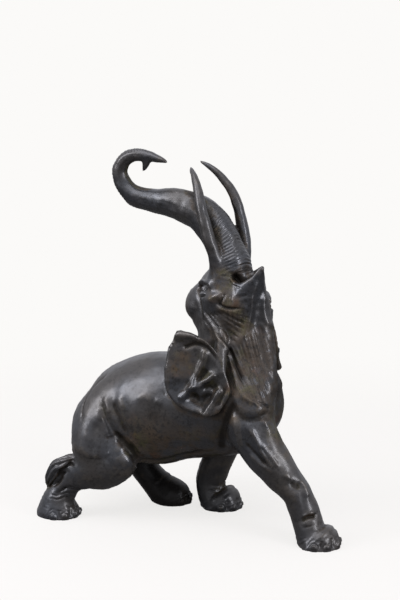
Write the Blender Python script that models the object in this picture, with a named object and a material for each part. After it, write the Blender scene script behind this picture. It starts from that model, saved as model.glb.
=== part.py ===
"""Bronze elephant, cast in one piece: it lunges forward on its right foreleg with its head thrown back.

The figure faces +X, its left side is +Y and the floor is z = 0. Every size below is a real millimetre of the
figure at REFERENCE_HEIGHT, and HEIGHT scales the whole cast. The form is a set of round masses, each with a
profile carried along a path, that are fused into one skin and settled onto the smooth blend of all masses.
"""

import bmesh
import bpy
import numpy as np
from mathutils.bvhtree import BVHTree

HEIGHT = 0.712  # floor to the top of the curled trunk, in metres
REFERENCE_HEIGHT = 712.0  # the same height in the millimetres that the tables below use
MM = HEIGHT / REFERENCE_HEIGHT  # one table millimetre in metres

HEAD_TURN = np.radians(-25.0)  # the head is turned towards the figure's right
HEAD_AXIS = np.array((60.0, 0.0, 0.0))  # where the head's own upright axis stands

SKIN_CELL = 5.0  # size of the cells that fuse the masses
RING_POINTS = 28  # corners of each ring of a mass
STEP = 6.0  # distance between the rings of a mass
TIP_LENGTH = 34.0  # the end of a thin mass that is drawn out to its full length
THICKEST_TIP = 3.5  # half width that still counts as a thin end
THINNEST = 0.8  # least half width of a mass, at a tip
KEPT_TRIANGLES = 9200  # faces of the finished solid

BRONZE_COLOUR = (0.045, 0.040, 0.036, 1.0)
BRONZE_ROUGHNESS = 0.34

UP = np.array((0.0, 0.0, 1.0))
LEFT = np.array((0.0, 1.0, 0.0))
HEAD_FORWARD = np.array((np.cos(HEAD_TURN), np.sin(HEAD_TURN), 0.0))
HEAD_LEFT = np.array((-np.sin(HEAD_TURN), np.cos(HEAD_TURN), 0.0))


def in_head(rows):
    """Rows that start with forward, left and up in the turned head, as rows that start with x, y and z."""
    rows = np.array(rows, float)
    place = HEAD_AXIS + rows[:, :1] * HEAD_FORWARD + rows[:, 1:2] * HEAD_LEFT + rows[:, 2:3] * UP
    return np.hstack((place, rows[:, 3:]))


def mirrored(rows):
    """The same rows on the other side of the middle plane they are given in."""
    rows = np.array(rows, float)
    rows[:, 1] *= -1
    return rows


# Each row of a mass: x, y, z, half the width across the figure, half the depth at right angles to it.
TORSO = [
    (-252, 0, 150, 14, 14),
    (-242, 0, 149, 42, 44),
    (-225, 0, 157, 66, 58),
    (-195, 0, 174, 84, 69),
    (-150, 0, 196, 96, 97),
    (-90, 0, 209, 100, 110),
    (-30, 0, 220, 98, 103),
    (30, 0, 228, 92, 100),
    (75, 0, 240, 84, 99),
    (108, 0, 256, 76, 85),
    (134, 0, 268, 60, 66),
    (151, 0, 276, 34, 36),
    (156, 0, 278, 12, 12),
]
NECK = [
    (64, -3, 236, 74, 80),
    (66, -3, 290, 66, 84),
    (68, -4, 340, 60, 76),
    (64, -3, 390, 54, 66),
    (60, -1, 430, 46, 52),
]
SKULL = in_head([
    (6, 0, 376, 40, 40),
    (2, 0, 400, 50, 62),
    (-2, 0, 430, 55, 72),
    (0, 0, 458, 52, 61),
    (7, 0, 484, 41, 40),
    (7, 0, 506, 33, 33),
])
THROAT = in_head([
    (62, 14, 468, 10, 10),
    (64, 18, 444, 15, 15),
    (66, 21, 404, 19, 19),
    (72, 18, 362, 22, 22),
    (84, 8, 320, 24, 24),
    (98, 0, 286, 22, 22),
])
EAR_ROOTS = [
    [(62, -40, 396, 13, 12), (68, -62, 378, 13, 12), (74, -80, 350, 12, 12), (80, -92, 318, 9, 9)],
    [(88, 36, 404, 12, 12), (98, 52, 388, 12, 12), (106, 62, 362, 12, 12), (110, 66, 330, 10, 10)],
]
DOME = [(-44, 24, 400, 24, 24), (-51, 24, 418, 31, 31), (-46, 24, 438, 27, 27), (-36, 22, 452, 18, 18)]
JAW = in_head([
    (14, 0, 356, 18, 18),
    (24, 0, 374, 30, 26),
    (38, 0, 408, 38, 30),
    (46, 0, 440, 38, 29),
    (54, 0, 464, 32, 27),
    (67, 0, 482, 23, 18),
    (78, 0, 496, 14, 10),
    (86, 0, 505, 5, 5),
])
TUSK_SHEATH = [(2, 33, 458, 16, 21), (3, 34, 484, 15, 19), (2, 35, 506, 12, 14), (-1, 38, 524, 11, 12)]
TUSK = [
    (4, 34, 480, 11, 12),
    (1, 39, 523, 12, 12),
    (-8, 45, 552, 12, 12),
    (-18, 47, 584, 11, 11),
    (-29, 46, 614, 10, 10),
    (-43, 41, 641, 8.6, 8.6),
    (-62, 32, 664, 6.8, 6.8),
]
LEFT_TIP = [(-83, 20, 682, 4.6, 4.6), (-94, 14, 688, 2.4, 2.4)]
RIGHT_TIP = [(-76, 25, 674, 4.6, 4.6), (-83, 22, 679, 2.4, 2.4)]

TRUNK = [
    (58, 2, 440, 42, 46),
    (62, -1, 478, 37, 42),
    (58, 0, 506, 34, 38),
    (50, 4, 530, 33, 36),
    (37, 9, 553, 32, 36),
    (18, 14, 575, 31, 36),
    (-7, 19, 594, 30, 34),
    (-36, 22, 603.5, 28, 32),
    (-68, 24, 610.5, 26, 28),
    (-98, 24, 612, 23, 23.5),
    (-126, 23, 615.5, 21, 21),
    (-149, 22, 623, 19.5, 19.5),
    (-167, 20, 644, 16.5, 16.5),
    (-173, 18, 668, 14, 14.5),
    (-161, 17, 690, 13, 13.5),
    (-142, 16, 699, 12.5, 12.5),
    (-118, 15, 699, 11.5, 11),
    (-96, 14, 695, 9.5, 8),
    (-80, 13, 691, 6.5, 5),
    (-74, 13, 689, 3, 2.5),
]
SPUR = [(-114, 14, 692, 8, 8), (-118, 14, 680, 6, 6), (-121, 14, 671, 2.5, 2.5)]
LEGS = {
    "right_fore": [
        (92, -46, 300, 34, 44),
        (112, -56, 256, 42, 56),
        (126, -62, 214, 42, 47),
        (151, -64, 172, 36, 42),
        (184, -64, 132, 32, 35),
        (217, -64, 96, 29, 28),
        (233, -65, 66, 27, 28),
        (242, -66, 42, 28, 28),
        (249, -67, 22, 31, 30),
        (260, -67, 7, 40, 43),
        (261, -67, -8, 39, 42),
    ],
    "left_fore": [
        (70, 46, 290, 36, 46),
        (56, 58, 240, 42, 54),
        (40, 66, 190, 38, 46),
        (26, 70, 145, 33, 36),
        (14, 71, 105, 29, 31),
        (0, 72, 72, 28, 30),
        (-5, 72, 46, 27, 30),
        (0, 72, 23, 32, 31),
        (14, 72, 8, 40, 44),
        (14, 72, -6, 38, 42),
    ],
    "right_hind": [
        (-160, -40, 224, 44, 48),
        (-172, -52, 184, 50, 68),
        (-175, -68, 144, 45, 60),
        (-148, -76, 122, 38, 48),
        (-172, -82, 101, 34, 42),
        (-204, -86, 91, 31, 35),
        (-231, -89, 75, 28, 28),
        (-248, -91, 53, 25, 26),
        (-259, -92, 32, 31, 33),
        (-261, -92, 8, 39, 43),
        (-261, -92, -6, 38, 42),
    ],
    "right_haunch": [
        (-184, -52, 206, 38, 40),
        (-187, -68, 178, 39, 40),
        (-189, -78, 152, 38, 39),
        (-193, -82, 128, 34, 36),
        (-199, -84, 106, 29, 30),
    ],
    "left_hind": [
        (-168, 42, 224, 44, 52),
        (-172, 52, 186, 48, 60),
        (-168, 58, 150, 42, 50),
        (-160, 62, 112, 34, 40),
        (-155, 64, 78, 28, 31),
        (-134, 65, 48, 28, 28),
        (-110, 65, 26, 32, 33),
        (-88, 65, 8, 37, 40),
        (-88, 65, -6, 36, 39),
    ],
}
TAIL = [
    (-190, -4, 256, 13, 13),
    (-212, -14, 238, 11, 11),
    (-229, -26, 213, 9.5, 9.5),
    (-237, -38, 184, 8, 8),
    (-238, -52, 158, 7.5, 7.5),
    (-233, -68, 142, 8, 8),
    (-224, -84, 133, 9, 9),
]
TAIL_TUFT = [
    (-211, -98, 121, 11, 11),
    (-234, -101, 111, 15, 14),
    (-255, -102, 98, 16, 15),
    (-270, -102, 78, 13, 13),
    (-277, -100, 60, 5, 5),
]

# The right ear in its own plane: across towards the figure's back, and up, from its middle.
RIGHT_EAR = np.array((38.0, -101.0, 306.0))
LEFT_EAR = np.array((107.0, 86.0, 355.0))
LEFT_EAR_UP = np.array((-0.13, -0.05, 0.99))
EAR_BACK = np.array((-0.98, -0.2, 0.0))
RIGHT_EAR_UP = np.array((0.03, 0.15, 0.99))
EAR_OUTLINE = [
    (40, 86), (52, 59), (58, 44), (60, 4), (60, -22), (54, -38), (41, -52), (23, -61), (-4, -68),
    (-20, -70), (-38, -64), (-49, -49), (-57, -33), (-61, -16), (-57, 0), (-49, 17), (-41, 37), (-27, 58),
    (-10, 72), (10, 80),
]
EAR_THICKNESS = 8.0
EAR_CUP = 6.0  # how far the rim stands out past the middle of the ear
EAR_CORNERS = 64
EAR_RINGS = 14
# Each fold: how far it stands out, its width, and its line on the ear.
EAR_FOLDS = [
    (6.0, 6.5, [(41, 74), (11, 75), (-15, 70), (-27, 62), (-36, 54), (-46, 42), (-53, 24)]),  # rolled rim
    (-4.5, 4.0, [(24, 54), (8, 61), (-6, 61), (-17, 57), (-27, 48), (-38, 36), (-48, 22)]),
    (7.0, 5.5, [(-13, 48), (-9, 32), (-4, 18), (3, 1), (11, -17), (19, -30), (28, -40)]),  # forked ridge
    (7.0, 6.5, [(-29, 7), (-18, -4), (-5, -15), (11, -21)]),
    (-5.0, 6.0, [(-3, 0), (-13, 12)]),  # hollows
    (-12.0, 11.0, [(7, -40), (-7, -47), (-20, -34)]),
    (-8.0, 8.0, [(-14, -16), (-29, -16)]),
    (8.0, 5.5, [(-40, -22), (-29, -41), (-20, -58), (-15, -69)]),  # low ridge
    (-4.0, 6.0, [(-51, -20), (-42, -44)]),
    (2.5, 18.0, [(38, 30), (36, 0)]),
]
# Each fold of the head: how far it stands out, its width, and its line forward, left and up on the right.
HEAD_FOLDS = [
    (-12.0, 7.0, [(36, -26, 488), (48, -20, 484), (62, -14, 486), (76, -7, 497)]),  # mouth
    (3.0, 4.0, [(34, -31, 487), (39, -30, 479), (51, -29, 472)]),  # lower lip
    (-4.0, 3.5, [(25, -53, 437), (40, -47, 431), (62, -33, 431), (73, -13, 431)]),  # crease under the cheek
    (-3.5, 3.5, [(25, -53, 437), (31, -49, 447), (34, -44, 456)]),
    (5.0, 8.0, [(4, -57, 442), (17, -54, 450), (28, -49, 452)]),  # cheek
    (-4.0, 6.0, [(-36, -47, 460), (-22, -50, 463), (-4, -55, 462)]),  # eye socket
    (4.5, 3.2, [(-25, -50, 462), (-19, -51, 462)]),  # eyeball
    (3.5, 4.0, [(-42, -44, 465), (-29, -44, 471), (-4, -54, 474), (7, -55, 465)]),  # brow
    (-4.0, 5.0, [(-42, -44, 465), (-28, -53, 443), (-17, -56, 416), (-13, -56, 392)]),  # behind the face
    (3.0, 4.0, [(79, -6, 480), (74, -14, 455), (74, -14, 425), (71, -24, 388), (64, -36, 371)]),  # jaw
    (-2.0, 2.5, [(57, -34, 452), (69, -20, 456)]),
]
# Fans of like folds: how far they stand out, their width, how many, the line their starts stand on and the
# line their ends stand on, forward, left and up on the right side of the head.
HEAD_FANS = [
    (-2.8, 3.5, 5, [(-8, -58, 420), (30, -54, 424)], [(58, -40, 368), (68, -26, 402)]),  # jowl
    (-4.0, 4.5, 5, [(50, -48, 352), (75, -2, 398)], [(126, -52, 262), (114, -1, 272)]),  # throat
]
# The same for the body, in x, y and z on the right side, each on the left side too where that is said.
BODY_FOLDS = [
    (3.5, 3.5, False, [(44, -64, 395), (64, -81, 384), (81, -83, 370), (86, -71, 346), (98, -80, 320)]),
    (-4.0, 3.5, False, [(51, -63, 398), (74, -79, 384), (85, -71, 363), (93, -68, 336), (122, -87, 296)]),
    (3.0, 4.0, False, [(98, -80, 320), (118, -97, 285), (137, -96, 271), (158, -90, 262)]),
    (-4.0, 3.0, False, [(-15, -105, 293), (-14, -105, 276), (-9, -105, 260)]),  # flank behind the ear
    (4.5, 8.0, False, [(-32, -98, 326), (-34, -102, 308), (-32, -103, 290)]),
    (-5.0, 7.0, True, [(103, -97, 260), (116, -101, 244), (140, -101, 235), (169, -75, 243)]),  # shoulder
    (-3.0, 3.0, False, [(150, -92, 267), (161, -87, 262), (171, -70, 251)]),
    (-6.0, 8.0, True, [(103, -97, 260), (90, -95, 228), (78, -79, 192), (68, -57, 157)]),  # behind the elbow
    (5.0, 7.0, True, [(112, -102, 232), (118, -101, 206), (124, -95, 183)]),  # muscles of the foreleg
    (3.0, 5.0, True, [(166, -89, 234), (174, -89, 224), (182, -89, 212)]),
    (4.5, 5.0, False, [(140, -103, 220), (154, -102, 195), (169, -99, 169), (189, -96, 144)]),
    (-4.0, 5.0, False, [(132, -98, 190), (150, -98, 172), (170, -97, 150)]),
    (3.0, 4.0, False, [(139, -103, 167), (156, -103, 153), (184, -104, 138)]),
    (2.5, 2.8, False, [(167, -107, 190), (180, -105, 174), (196, -100, 153)]),
    (-2.5, 2.2, False, [(163, -107, 186), (176, -106, 168), (193, -103, 144)]),
    (-4.5, 7.0, True, [(217, -94, 122), (226, -91, 114), (233, -82, 116)]),  # knee
    (3.0, 5.0, True, [(231, -78, 124), (239, -76, 113), (248, -80, 95)]),
    (3.0, 5.0, True, [(208, -96, 138), (217, -94, 129)]),
    (-1.6, 6.0, True, [(236, -90, 106), (243, -94, 85), (249, -95, 63)]),  # shin
    (-4.0, 4.0, False, [(239, -93, 51), (251, -89, 58), (261, -79, 59)]),  # wrist
    (2.5, 3.0, False, [(242, -97, 59), (252, -92, 66), (262, -82, 67)]),
    (-3.0, 3.5, False, [(-204, -103, 199), (-211, -80, 229), (-202, -62, 255), (-180, -49, 280)]),  # tail
    (3.0, 8.0, True, [(-170, -100, 228), (-166, -104, 217), (-166, -107, 204)]),  # from flank to thigh
    (3.0, 7.0, True, [(-162, -93, 247), (-153, -100, 233), (-146, -104, 218)]),
    (-2.5, 4.0, True, [(-168, -95, 240), (-158, -102, 225), (-150, -107, 206), (-123, -96, 165)]),
    (3.0, 8.0, True, [(-130, -94, 256), (-123, -100, 242), (-117, -105, 227)]),
    (-3.5, 6.0, True, [(-143, -98, 240), (-134, -104, 223), (-123, -106, 201), (-112, -104, 178)]),
    (2.5, 10.0, True, [(-92, -100, 251), (-76, -98, 260), (-57, -100, 255)]),
    (2.0, 6.0, True, [(-51, -100, 255), (-38, -102, 249)]),
    (-3.0, 18.0, True, [(-66, -107, 219), (-40, -107, 220)]),
    (-7.0, 7.0, True, [(-131, -103, 175), (-116, -99, 160), (-103, -90, 143), (-99, -77, 120)]),  # thigh
    (3.0, 4.0, True, [(-106, -101, 170), (-95, -96, 156), (-87, -84, 138)]),
    (-1.5, 6.0, True, [(-171, -110, 195), (-173, -117, 161), (-175, -118, 127)]),
    (-1.5, 6.0, True, [(-145, -108, 183), (-146, -115, 153), (-148, -121, 123)]),
    (-4.0, 6.0, True, [(-98, -65, 117), (-61, -55, 120), (-19, -55, 135), (36, -64, 156)]),  # belly
    (-3.0, 3.5, False, [(-253, -118, 48), (-234, -118, 62), (-220, -112, 66)]),  # hind ankle
    (-6.0, 4.0, False, [(-220, -112, 118), (-236, -116, 100), (-251, -116, 78), (-262, -112, 66)]),  # tuft
    (2.5, 10.0, False, [(-220, -104, 147), (-203, -112, 142), (-180, -114, 136), (-162, -113, 131)]),
]
# Each foot: where its sole's middle stands, its radius there and the turn of its toes.
FEET = [
    (260, -67, 41.0, -0.15),
    (14, 72, 41.0, 0.1),
    (-260, -92, 42.0, -0.5),
    (-88, 65, 39.0, 0.3),
]
NAILS = (5, 5, 4, 4)  # on each foot
NAIL_SPREAD = 0.62  # turn between neighbouring nails
NAIL_WIDTH = 5.0
NAIL_TOP = 13.0
TOE_TOP = 24.0  # top of the grooves between the toes
MOST_SHIFT = 6.0  # the furthest that one round of settling moves a corner


class Mass:
    """A round mass: an ellipse of changing size carried along a smooth path, with a reach to blend over."""

    def __init__(self, rows, side=LEFT, side_end=None, blend=14.0):
        rows = smooth_rows(rows)
        self.blend = blend
        self.centre = rows[:, :3]
        self.half = np.maximum(rows[:, 3:5], THINNEST)
        run = np.gradient(self.centre, axis=0)
        self.along = run / np.linalg.norm(run, axis=1, keepdims=True)
        share = np.linspace(0.0, 1.0, len(rows))[:, None]
        hint = side * (1.0 - share) + (side if side_end is None else side_end) * share
        across = hint - np.sum(hint * self.along, axis=1, keepdims=True) * self.along
        self.across = across / np.linalg.norm(across, axis=1, keepdims=True)
        self.deep = np.cross(self.along, self.across)
        steps = np.linalg.norm(np.diff(self.centre, axis=0), axis=1)
        self.walked = np.concatenate(((0.0,), np.cumsum(steps)))
        self.slope = np.gradient(self.half.mean(axis=1), self.walked)
        reach = self.half.max(axis=1, keepdims=True) + 3.0 * blend
        self.low = (self.centre - reach).min(axis=0)
        self.high = (self.centre + reach).max(axis=0)

    def coordinates(self, points):
        """The row before each point on the mass's path, and the point's share of the way to the next row."""
        last = len(self.centre) - 1
        nearest = (np.sum(self.centre**2, axis=1) - 2.0 * points @ self.centre.T).argmin(axis=1)
        best = np.full(len(points), np.inf)
        row = np.zeros(len(points), int)
        share = np.zeros(len(points))
        for shift in (-1, 0):
            start = np.clip(nearest + shift, 0, last - 1)
            step = self.centre[start + 1] - self.centre[start]
            place = np.sum((points - self.centre[start]) * step, axis=1) / np.sum(step**2, axis=1)
            place = np.clip(place, 0.0, 1.0)
            distance = np.sum((points - self.centre[start] - place[:, None] * step) ** 2, axis=1)
            better = distance < best
            best[better] = distance[better]
            row[better] = start[better]
            share[better] = place[better]
        return row, share

    def read(self, values, row, share):
        """A row value between its rows."""
        if values.ndim > 1:
            share = share[:, None]
        return values[row] * (1.0 - share) + values[row + 1] * share

    def gap(self, points):
        """Distance from each point out to the mass's surface, below zero inside."""
        row, share = self.coordinates(points)
        offset = points - self.read(self.centre, row, share)
        half = self.read(self.half, row, share)
        across = np.sum(offset * self.read(self.across, row, share), axis=1)
        deep = np.sum(offset * self.read(self.deep, row, share), axis=1)
        beyond = np.sum(offset * self.read(self.along, row, share), axis=1)
        shares = np.stack((across / half[:, 0], deep / half[:, 1], beyond / half.min(axis=1)))
        swell = np.maximum(np.linalg.norm(shares, axis=0), 1e-3)
        distance = np.linalg.norm(offset, axis=1)
        return distance * (1.0 - 1.0 / swell) / np.sqrt(1.0 + self.read(self.slope, row, share) ** 2)

    def add_to(self, bm):
        """Adds the mass to a mesh as rings of corners joined by quads, with flat ends."""
        turn = np.arange(RING_POINTS) * 2.0 * np.pi / RING_POINTS
        rings = []
        for centre, half, across, deep in zip(self.centre, self.half, self.across, self.deep):
            ring = centre + np.outer(np.cos(turn) * half[0], across) + np.outer(np.sin(turn) * half[1], deep)
            rings.append([bm.verts.new(corner * MM) for corner in ring])
        join_rings(bm, rings)


def smooth_rows(rows, step=STEP):
    """Rows read about one step apart from a smooth curve through the given rows."""
    rows = np.array(rows, float)
    held = np.vstack((2 * rows[0] - rows[1], rows, 2 * rows[-1] - rows[-2]))
    made = []
    for before, start, end, after in zip(held, held[1:], held[2:], held[3:]):
        count = max(2, int(np.ceil(np.linalg.norm(end[:3] - start[:3]) / step)))
        t = np.arange(count)[:, None] / count
        made.append(
            start
            + 0.5 * t * (end - before)
            + t**2 * (before - 2.5 * start + 2.0 * end - 0.5 * after)
            + t**3 * (1.5 * (start - end) + 0.5 * (after - before))
        )
    return np.vstack(made + [rows[-1:]])


def join_rings(bm, rings):
    """Quads between neighbouring rings of corners, and one flat face at each end."""
    for ring, following in zip(rings, rings[1:]):
        for i, corner in enumerate(ring):
            j = (i + 1) % len(ring)
            bm.faces.new((corner, ring[j], following[j], following[i]))
    bm.faces.new(rings[0][::-1])
    bm.faces.new(rings[-1])


class Ear:
    """A thin folded sheet with a round rim, in its own plane: a towards the back of the figure, b upwards."""

    def __init__(self, centre, back, up, blend=5.0):
        self.blend = blend
        self.centre, self.back, self.up = centre, back, up
        self.out = np.cross(up, back) * (1.0 if centre[1] < 0.0 else -1.0)
        outline = smooth_rows(np.vstack((EAR_OUTLINE, EAR_OUTLINE[:1])), step=4.0)
        turn = np.arctan2(outline[:, 1], outline[:, 0])
        order = np.argsort(turn)
        self.turn = turn[order]
        self.radius = np.linalg.norm(outline, axis=1)[order]
        reach = self.radius.max() + EAR_THICKNESS + 3.0 * blend
        self.low, self.high = centre - reach, centre + reach

    def rim(self, turn):
        """How far the outline lies from the middle of the ear at each turn."""
        return np.interp(turn, self.turn, self.radius, period=2.0 * np.pi)

    def height(self, a, b):
        """How far the sheet's middle stands out of the ear's plane: a cup, a raised rim and the folds."""
        share = np.hypot(a, b) / self.rim(np.arctan2(b, a))
        lift = EAR_CUP * share**2
        for height, width, line in EAR_FOLDS:
            lift = lift + height * np.exp(-(distance_to_line(a, b, line) / width) ** 2)
        return lift

    def gap(self, points):
        """Distance out to the ear's surface, below zero inside the sheet."""
        offset = points - self.centre
        a, b, c = offset @ self.back, offset @ self.up, offset @ self.out
        beyond = np.maximum(np.hypot(a, b) - self.rim(np.arctan2(b, a)) + EAR_THICKNESS / 2.0, 0.0)
        return np.hypot(beyond, (c - self.height(a, b)) * 0.9) - EAR_THICKNESS / 2.0

    def add_to(self, bm):
        """Adds the ear as rings from the middle of its back, over the rim, to the middle of its face."""
        turn = np.arange(EAR_CORNERS) * 2.0 * np.pi / EAR_CORNERS
        inner = np.linspace(0.04, 1.0, EAR_RINGS)
        half = EAR_THICKNESS / 2.0
        shares = [(share, -1.0) for share in inner] + [(share, 1.0) for share in inner[::-1]]
        rings = []
        for share, face in shares:
            reach = (self.rim(turn) - (half if share < 1.0 else half * 0.3)) * share
            a, b = reach * np.cos(turn), reach * np.sin(turn)
            c = self.height(a, b) + face * half * (1.0 if share < 1.0 else 0.5)
            ring = self.centre + np.outer(a, self.back) + np.outer(b, self.up) + np.outer(c, self.out)
            rings.append([bm.verts.new(corner * MM) for corner in ring])
        join_rings(bm, rings)


def distance_to_line(a, b, line):
    """Distance in a plane from the points (a, b) to a line through the given corners."""
    nearest = np.full(np.shape(a), np.inf)
    for (a0, b0), (a1, b1) in zip(line, line[1:]):
        step = np.array((a1 - a0, b1 - b0), float)
        share = np.clip(((a - a0) * step[0] + (b - b0) * step[1]) / (step @ step), 0.0, 1.0)
        nearest = np.minimum(nearest, np.hypot(a - a0 - share * step[0], b - b0 - share * step[1]))
    return nearest


def across_head(vector):
    """A direction on the other side of the head's middle plane."""
    return vector - 2.0 * (vector @ HEAD_LEFT) * HEAD_LEFT


def masses():
    """Every mass of the figure, in the order in which they are blended."""
    head = dict(side=HEAD_LEFT)
    figure = [Mass(TORSO, blend=20.0), Mass(NECK, blend=26.0, **head), Mass(SKULL, blend=24.0, **head)]
    figure += [Mass(rows, blend=16.0) for rows in LEGS.values()]
    figure += [Mass(TRUNK, side=HEAD_LEFT, side_end=LEFT, blend=14.0), Mass(JAW, blend=9.0, **head)]
    figure.append(Mass(THROAT, blend=12.0, **head))
    for rows, blend in ((DOME, 10.0), (TUSK_SHEATH, 8.0)):
        figure += [Mass(in_head(side), blend=blend, **head) for side in (mirrored(rows), rows)]
    for rows in (mirrored(TUSK + RIGHT_TIP), TUSK + LEFT_TIP):
        figure.append(Mass(in_head(rows), blend=4.0, **head))
    figure += [Mass(TAIL, blend=4.0), Mass(TAIL_TUFT, blend=4.0), Mass(SPUR, blend=5.0)]
    figure += [Mass(rows, side=UP, blend=10.0) for rows in EAR_ROOTS]
    figure.append(Ear(RIGHT_EAR, EAR_BACK, RIGHT_EAR_UP))
    figure.append(Ear(LEFT_EAR, across_head(EAR_BACK), LEFT_EAR_UP))
    return figure


def gap_to_form(points, figure):
    """Distance out to the smooth blend of the masses: a polynomial soft minimum over each mass's reach."""
    total = np.full(len(points), 1e3)
    for mass in figure:
        near = np.all((points > mass.low) & (points < mass.high), axis=1)
        if not near.any():
            continue
        here = mass.gap(points[near])
        held = total[near]
        overlap = np.maximum(mass.blend - np.abs(here - held), 0.0) / mass.blend
        total[near] = np.minimum(here, held) - overlap**2 * mass.blend / 4.0
    return total


def evaluated(obj):
    """A new mesh of the object with its modifiers applied."""
    graph = bpy.context.evaluated_depsgraph_get()
    return bpy.data.meshes.new_from_object(obj.evaluated_get(graph))


def fused_mesh(figure, cell):
    """One closed skin round all the masses."""
    bm = bmesh.new()
    for mass in figure:
        mass.add_to(bm)
    bmesh.ops.recalc_face_normals(bm, faces=bm.faces)
    mesh = bpy.data.meshes.new("masses")
    bm.to_mesh(mesh)
    bm.free()
    obj = bpy.data.objects.new("masses", mesh)
    bpy.context.scene.collection.objects.link(obj)
    fuse = obj.modifiers.new("fuse", "REMESH")
    fuse.mode = "VOXEL"
    fuse.voxel_size = cell * MM
    skin = evaluated(obj)
    bpy.data.objects.remove(obj)
    drop_bubbles(skin)
    return skin


def drop_bubbles(mesh):
    """Keeps the outer skin, the largest island, and removes the closed bubbles left between the masses."""
    bm = bmesh.new()
    bm.from_mesh(mesh)
    left = set(bm.verts)
    islands = []
    while left:
        island, edge = set(), {left.pop()}
        while edge:
            island |= edge
            edge = {link.other_vert(vert) for vert in edge for link in vert.link_edges} - island
        left -= island
        islands.append(island)
    islands.sort(key=len)
    bubbles = [vert for island in islands[:-1] for vert in island]
    bmesh.ops.delete(bm, geom=bubbles, context="VERTS")
    bm.to_mesh(mesh)
    bm.free()


def points_of(mesh):
    """The mesh's corners as table millimetres, one row each."""
    flat = np.empty(len(mesh.vertices) * 3, np.float32)
    mesh.vertices.foreach_get("co", flat)
    return flat.reshape(-1, 3).astype(float) / MM


def move_points(mesh, points):
    """Puts the mesh's corners at the given table millimetres."""
    mesh.vertices.foreach_set("co", (points * MM).astype(np.float32).ravel())
    mesh.update()


def normals_of(mesh):
    """The unit normal at each corner."""
    flat = np.empty(len(mesh.vertices) * 3, np.float32)
    mesh.vertex_normals.foreach_get("vector", flat)
    return flat.reshape(-1, 3).astype(float)


def edges_of(mesh):
    """The two corner numbers of each edge."""
    flat = np.empty(len(mesh.edges) * 2, np.int32)
    mesh.edges.foreach_get("vertices", flat)
    return flat.reshape(-1, 2)


def neighbour_mean(points, edges):
    """The mean place of each corner's neighbours."""
    first, second = np.concatenate((edges, edges[:, ::-1])).T
    count = np.bincount(first, minlength=len(points))
    total = [np.bincount(first, weights=points[second, i], minlength=len(points)) for i in range(3)]
    return np.stack(total, axis=1) / count[:, None]


def settle(mesh, figure, rounds=3):
    """Evens out the skin and moves it onto the smooth blend of the masses, along its own normals."""
    edges = edges_of(mesh)
    points = points_of(mesh)
    for _ in range(rounds):
        points += 0.5 * (neighbour_mean(points, edges) - points)
        move_points(mesh, points)
        for _ in range(2):
            shift = np.clip(gap_to_form(points, figure), -MOST_SHIFT, MOST_SHIFT)
            points -= shift[:, None] * normals_of(mesh)
            move_points(mesh, points)


def draw_tips(mesh, figure):
    """Draws the thin ends, cut short by the cells, out to full length by a shift that grows as t^2."""
    points = points_of(mesh)
    for mass in figure:
        if not isinstance(mass, Mass) or mass.half[-1].max() > THICKEST_TIP:
            continue
        row, share = mass.coordinates(points)
        walked = mass.read(mass.walked, row, share)
        start = mass.walked[-1] - TIP_LENGTH
        tip = (walked > start) & (mass.gap(points) < mass.blend)
        reached = walked[tip].max()
        rise = ((walked[tip] - start) / (reached - start)) ** 2
        ahead = mass.centre[-1] - mass.centre[-2]
        points[tip] += (mass.walked[-1] - reached) * rise[:, None] * ahead / np.linalg.norm(ahead)
    move_points(mesh, points)


def fan(count, starts, ends):
    """Straight lines from even places on one line to even places on another."""
    starts, ends = np.array(starts, float), np.array(ends, float)
    shares = [np.array((1.0 - share, share)) for share in np.linspace(0.0, 1.0, count)]
    return [np.vstack((share @ starts, share @ ends)) for share in shares]


def beside_foot(foot, turn, low, high):
    """An upright line on the side of a foot, at a turn round its middle."""
    x, y, radius = foot
    rim = np.array((x + radius * np.cos(turn), y + radius * np.sin(turn), 0.0))
    return rim + ((0.0, 0.0, low), (0.0, 0.0, high))


def strokes():
    """Every carved line: how far it stands out, its width, and its corners in x, y and z."""
    head = list(HEAD_FOLDS)
    for height, width, count, starts, ends in HEAD_FANS:
        head += [(height, width, line) for line in fan(count, starts, ends)]
    lines = []
    for height, width, line in head:
        lines += [(height, width, in_head(side)) for side in (line, mirrored(line))]
    for height, width, both, line in BODY_FOLDS:
        sides = (line, mirrored(line)) if both else (line,)
        lines += [(height, width, np.array(side, float)) for side in sides]
    for (*foot, toes), nails in zip(FEET, NAILS):
        for number in range(nails):
            turn = toes + (number - (nails - 1) / 2.0) * NAIL_SPREAD
            lines.append((3.0, NAIL_WIDTH, beside_foot(foot, turn, NAIL_WIDTH, NAIL_TOP)))
            lines.append((-2.5, 4.0, beside_foot(foot, turn + NAIL_SPREAD / 2.0, 3.0, TOE_TOP)))
    return lines


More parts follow.
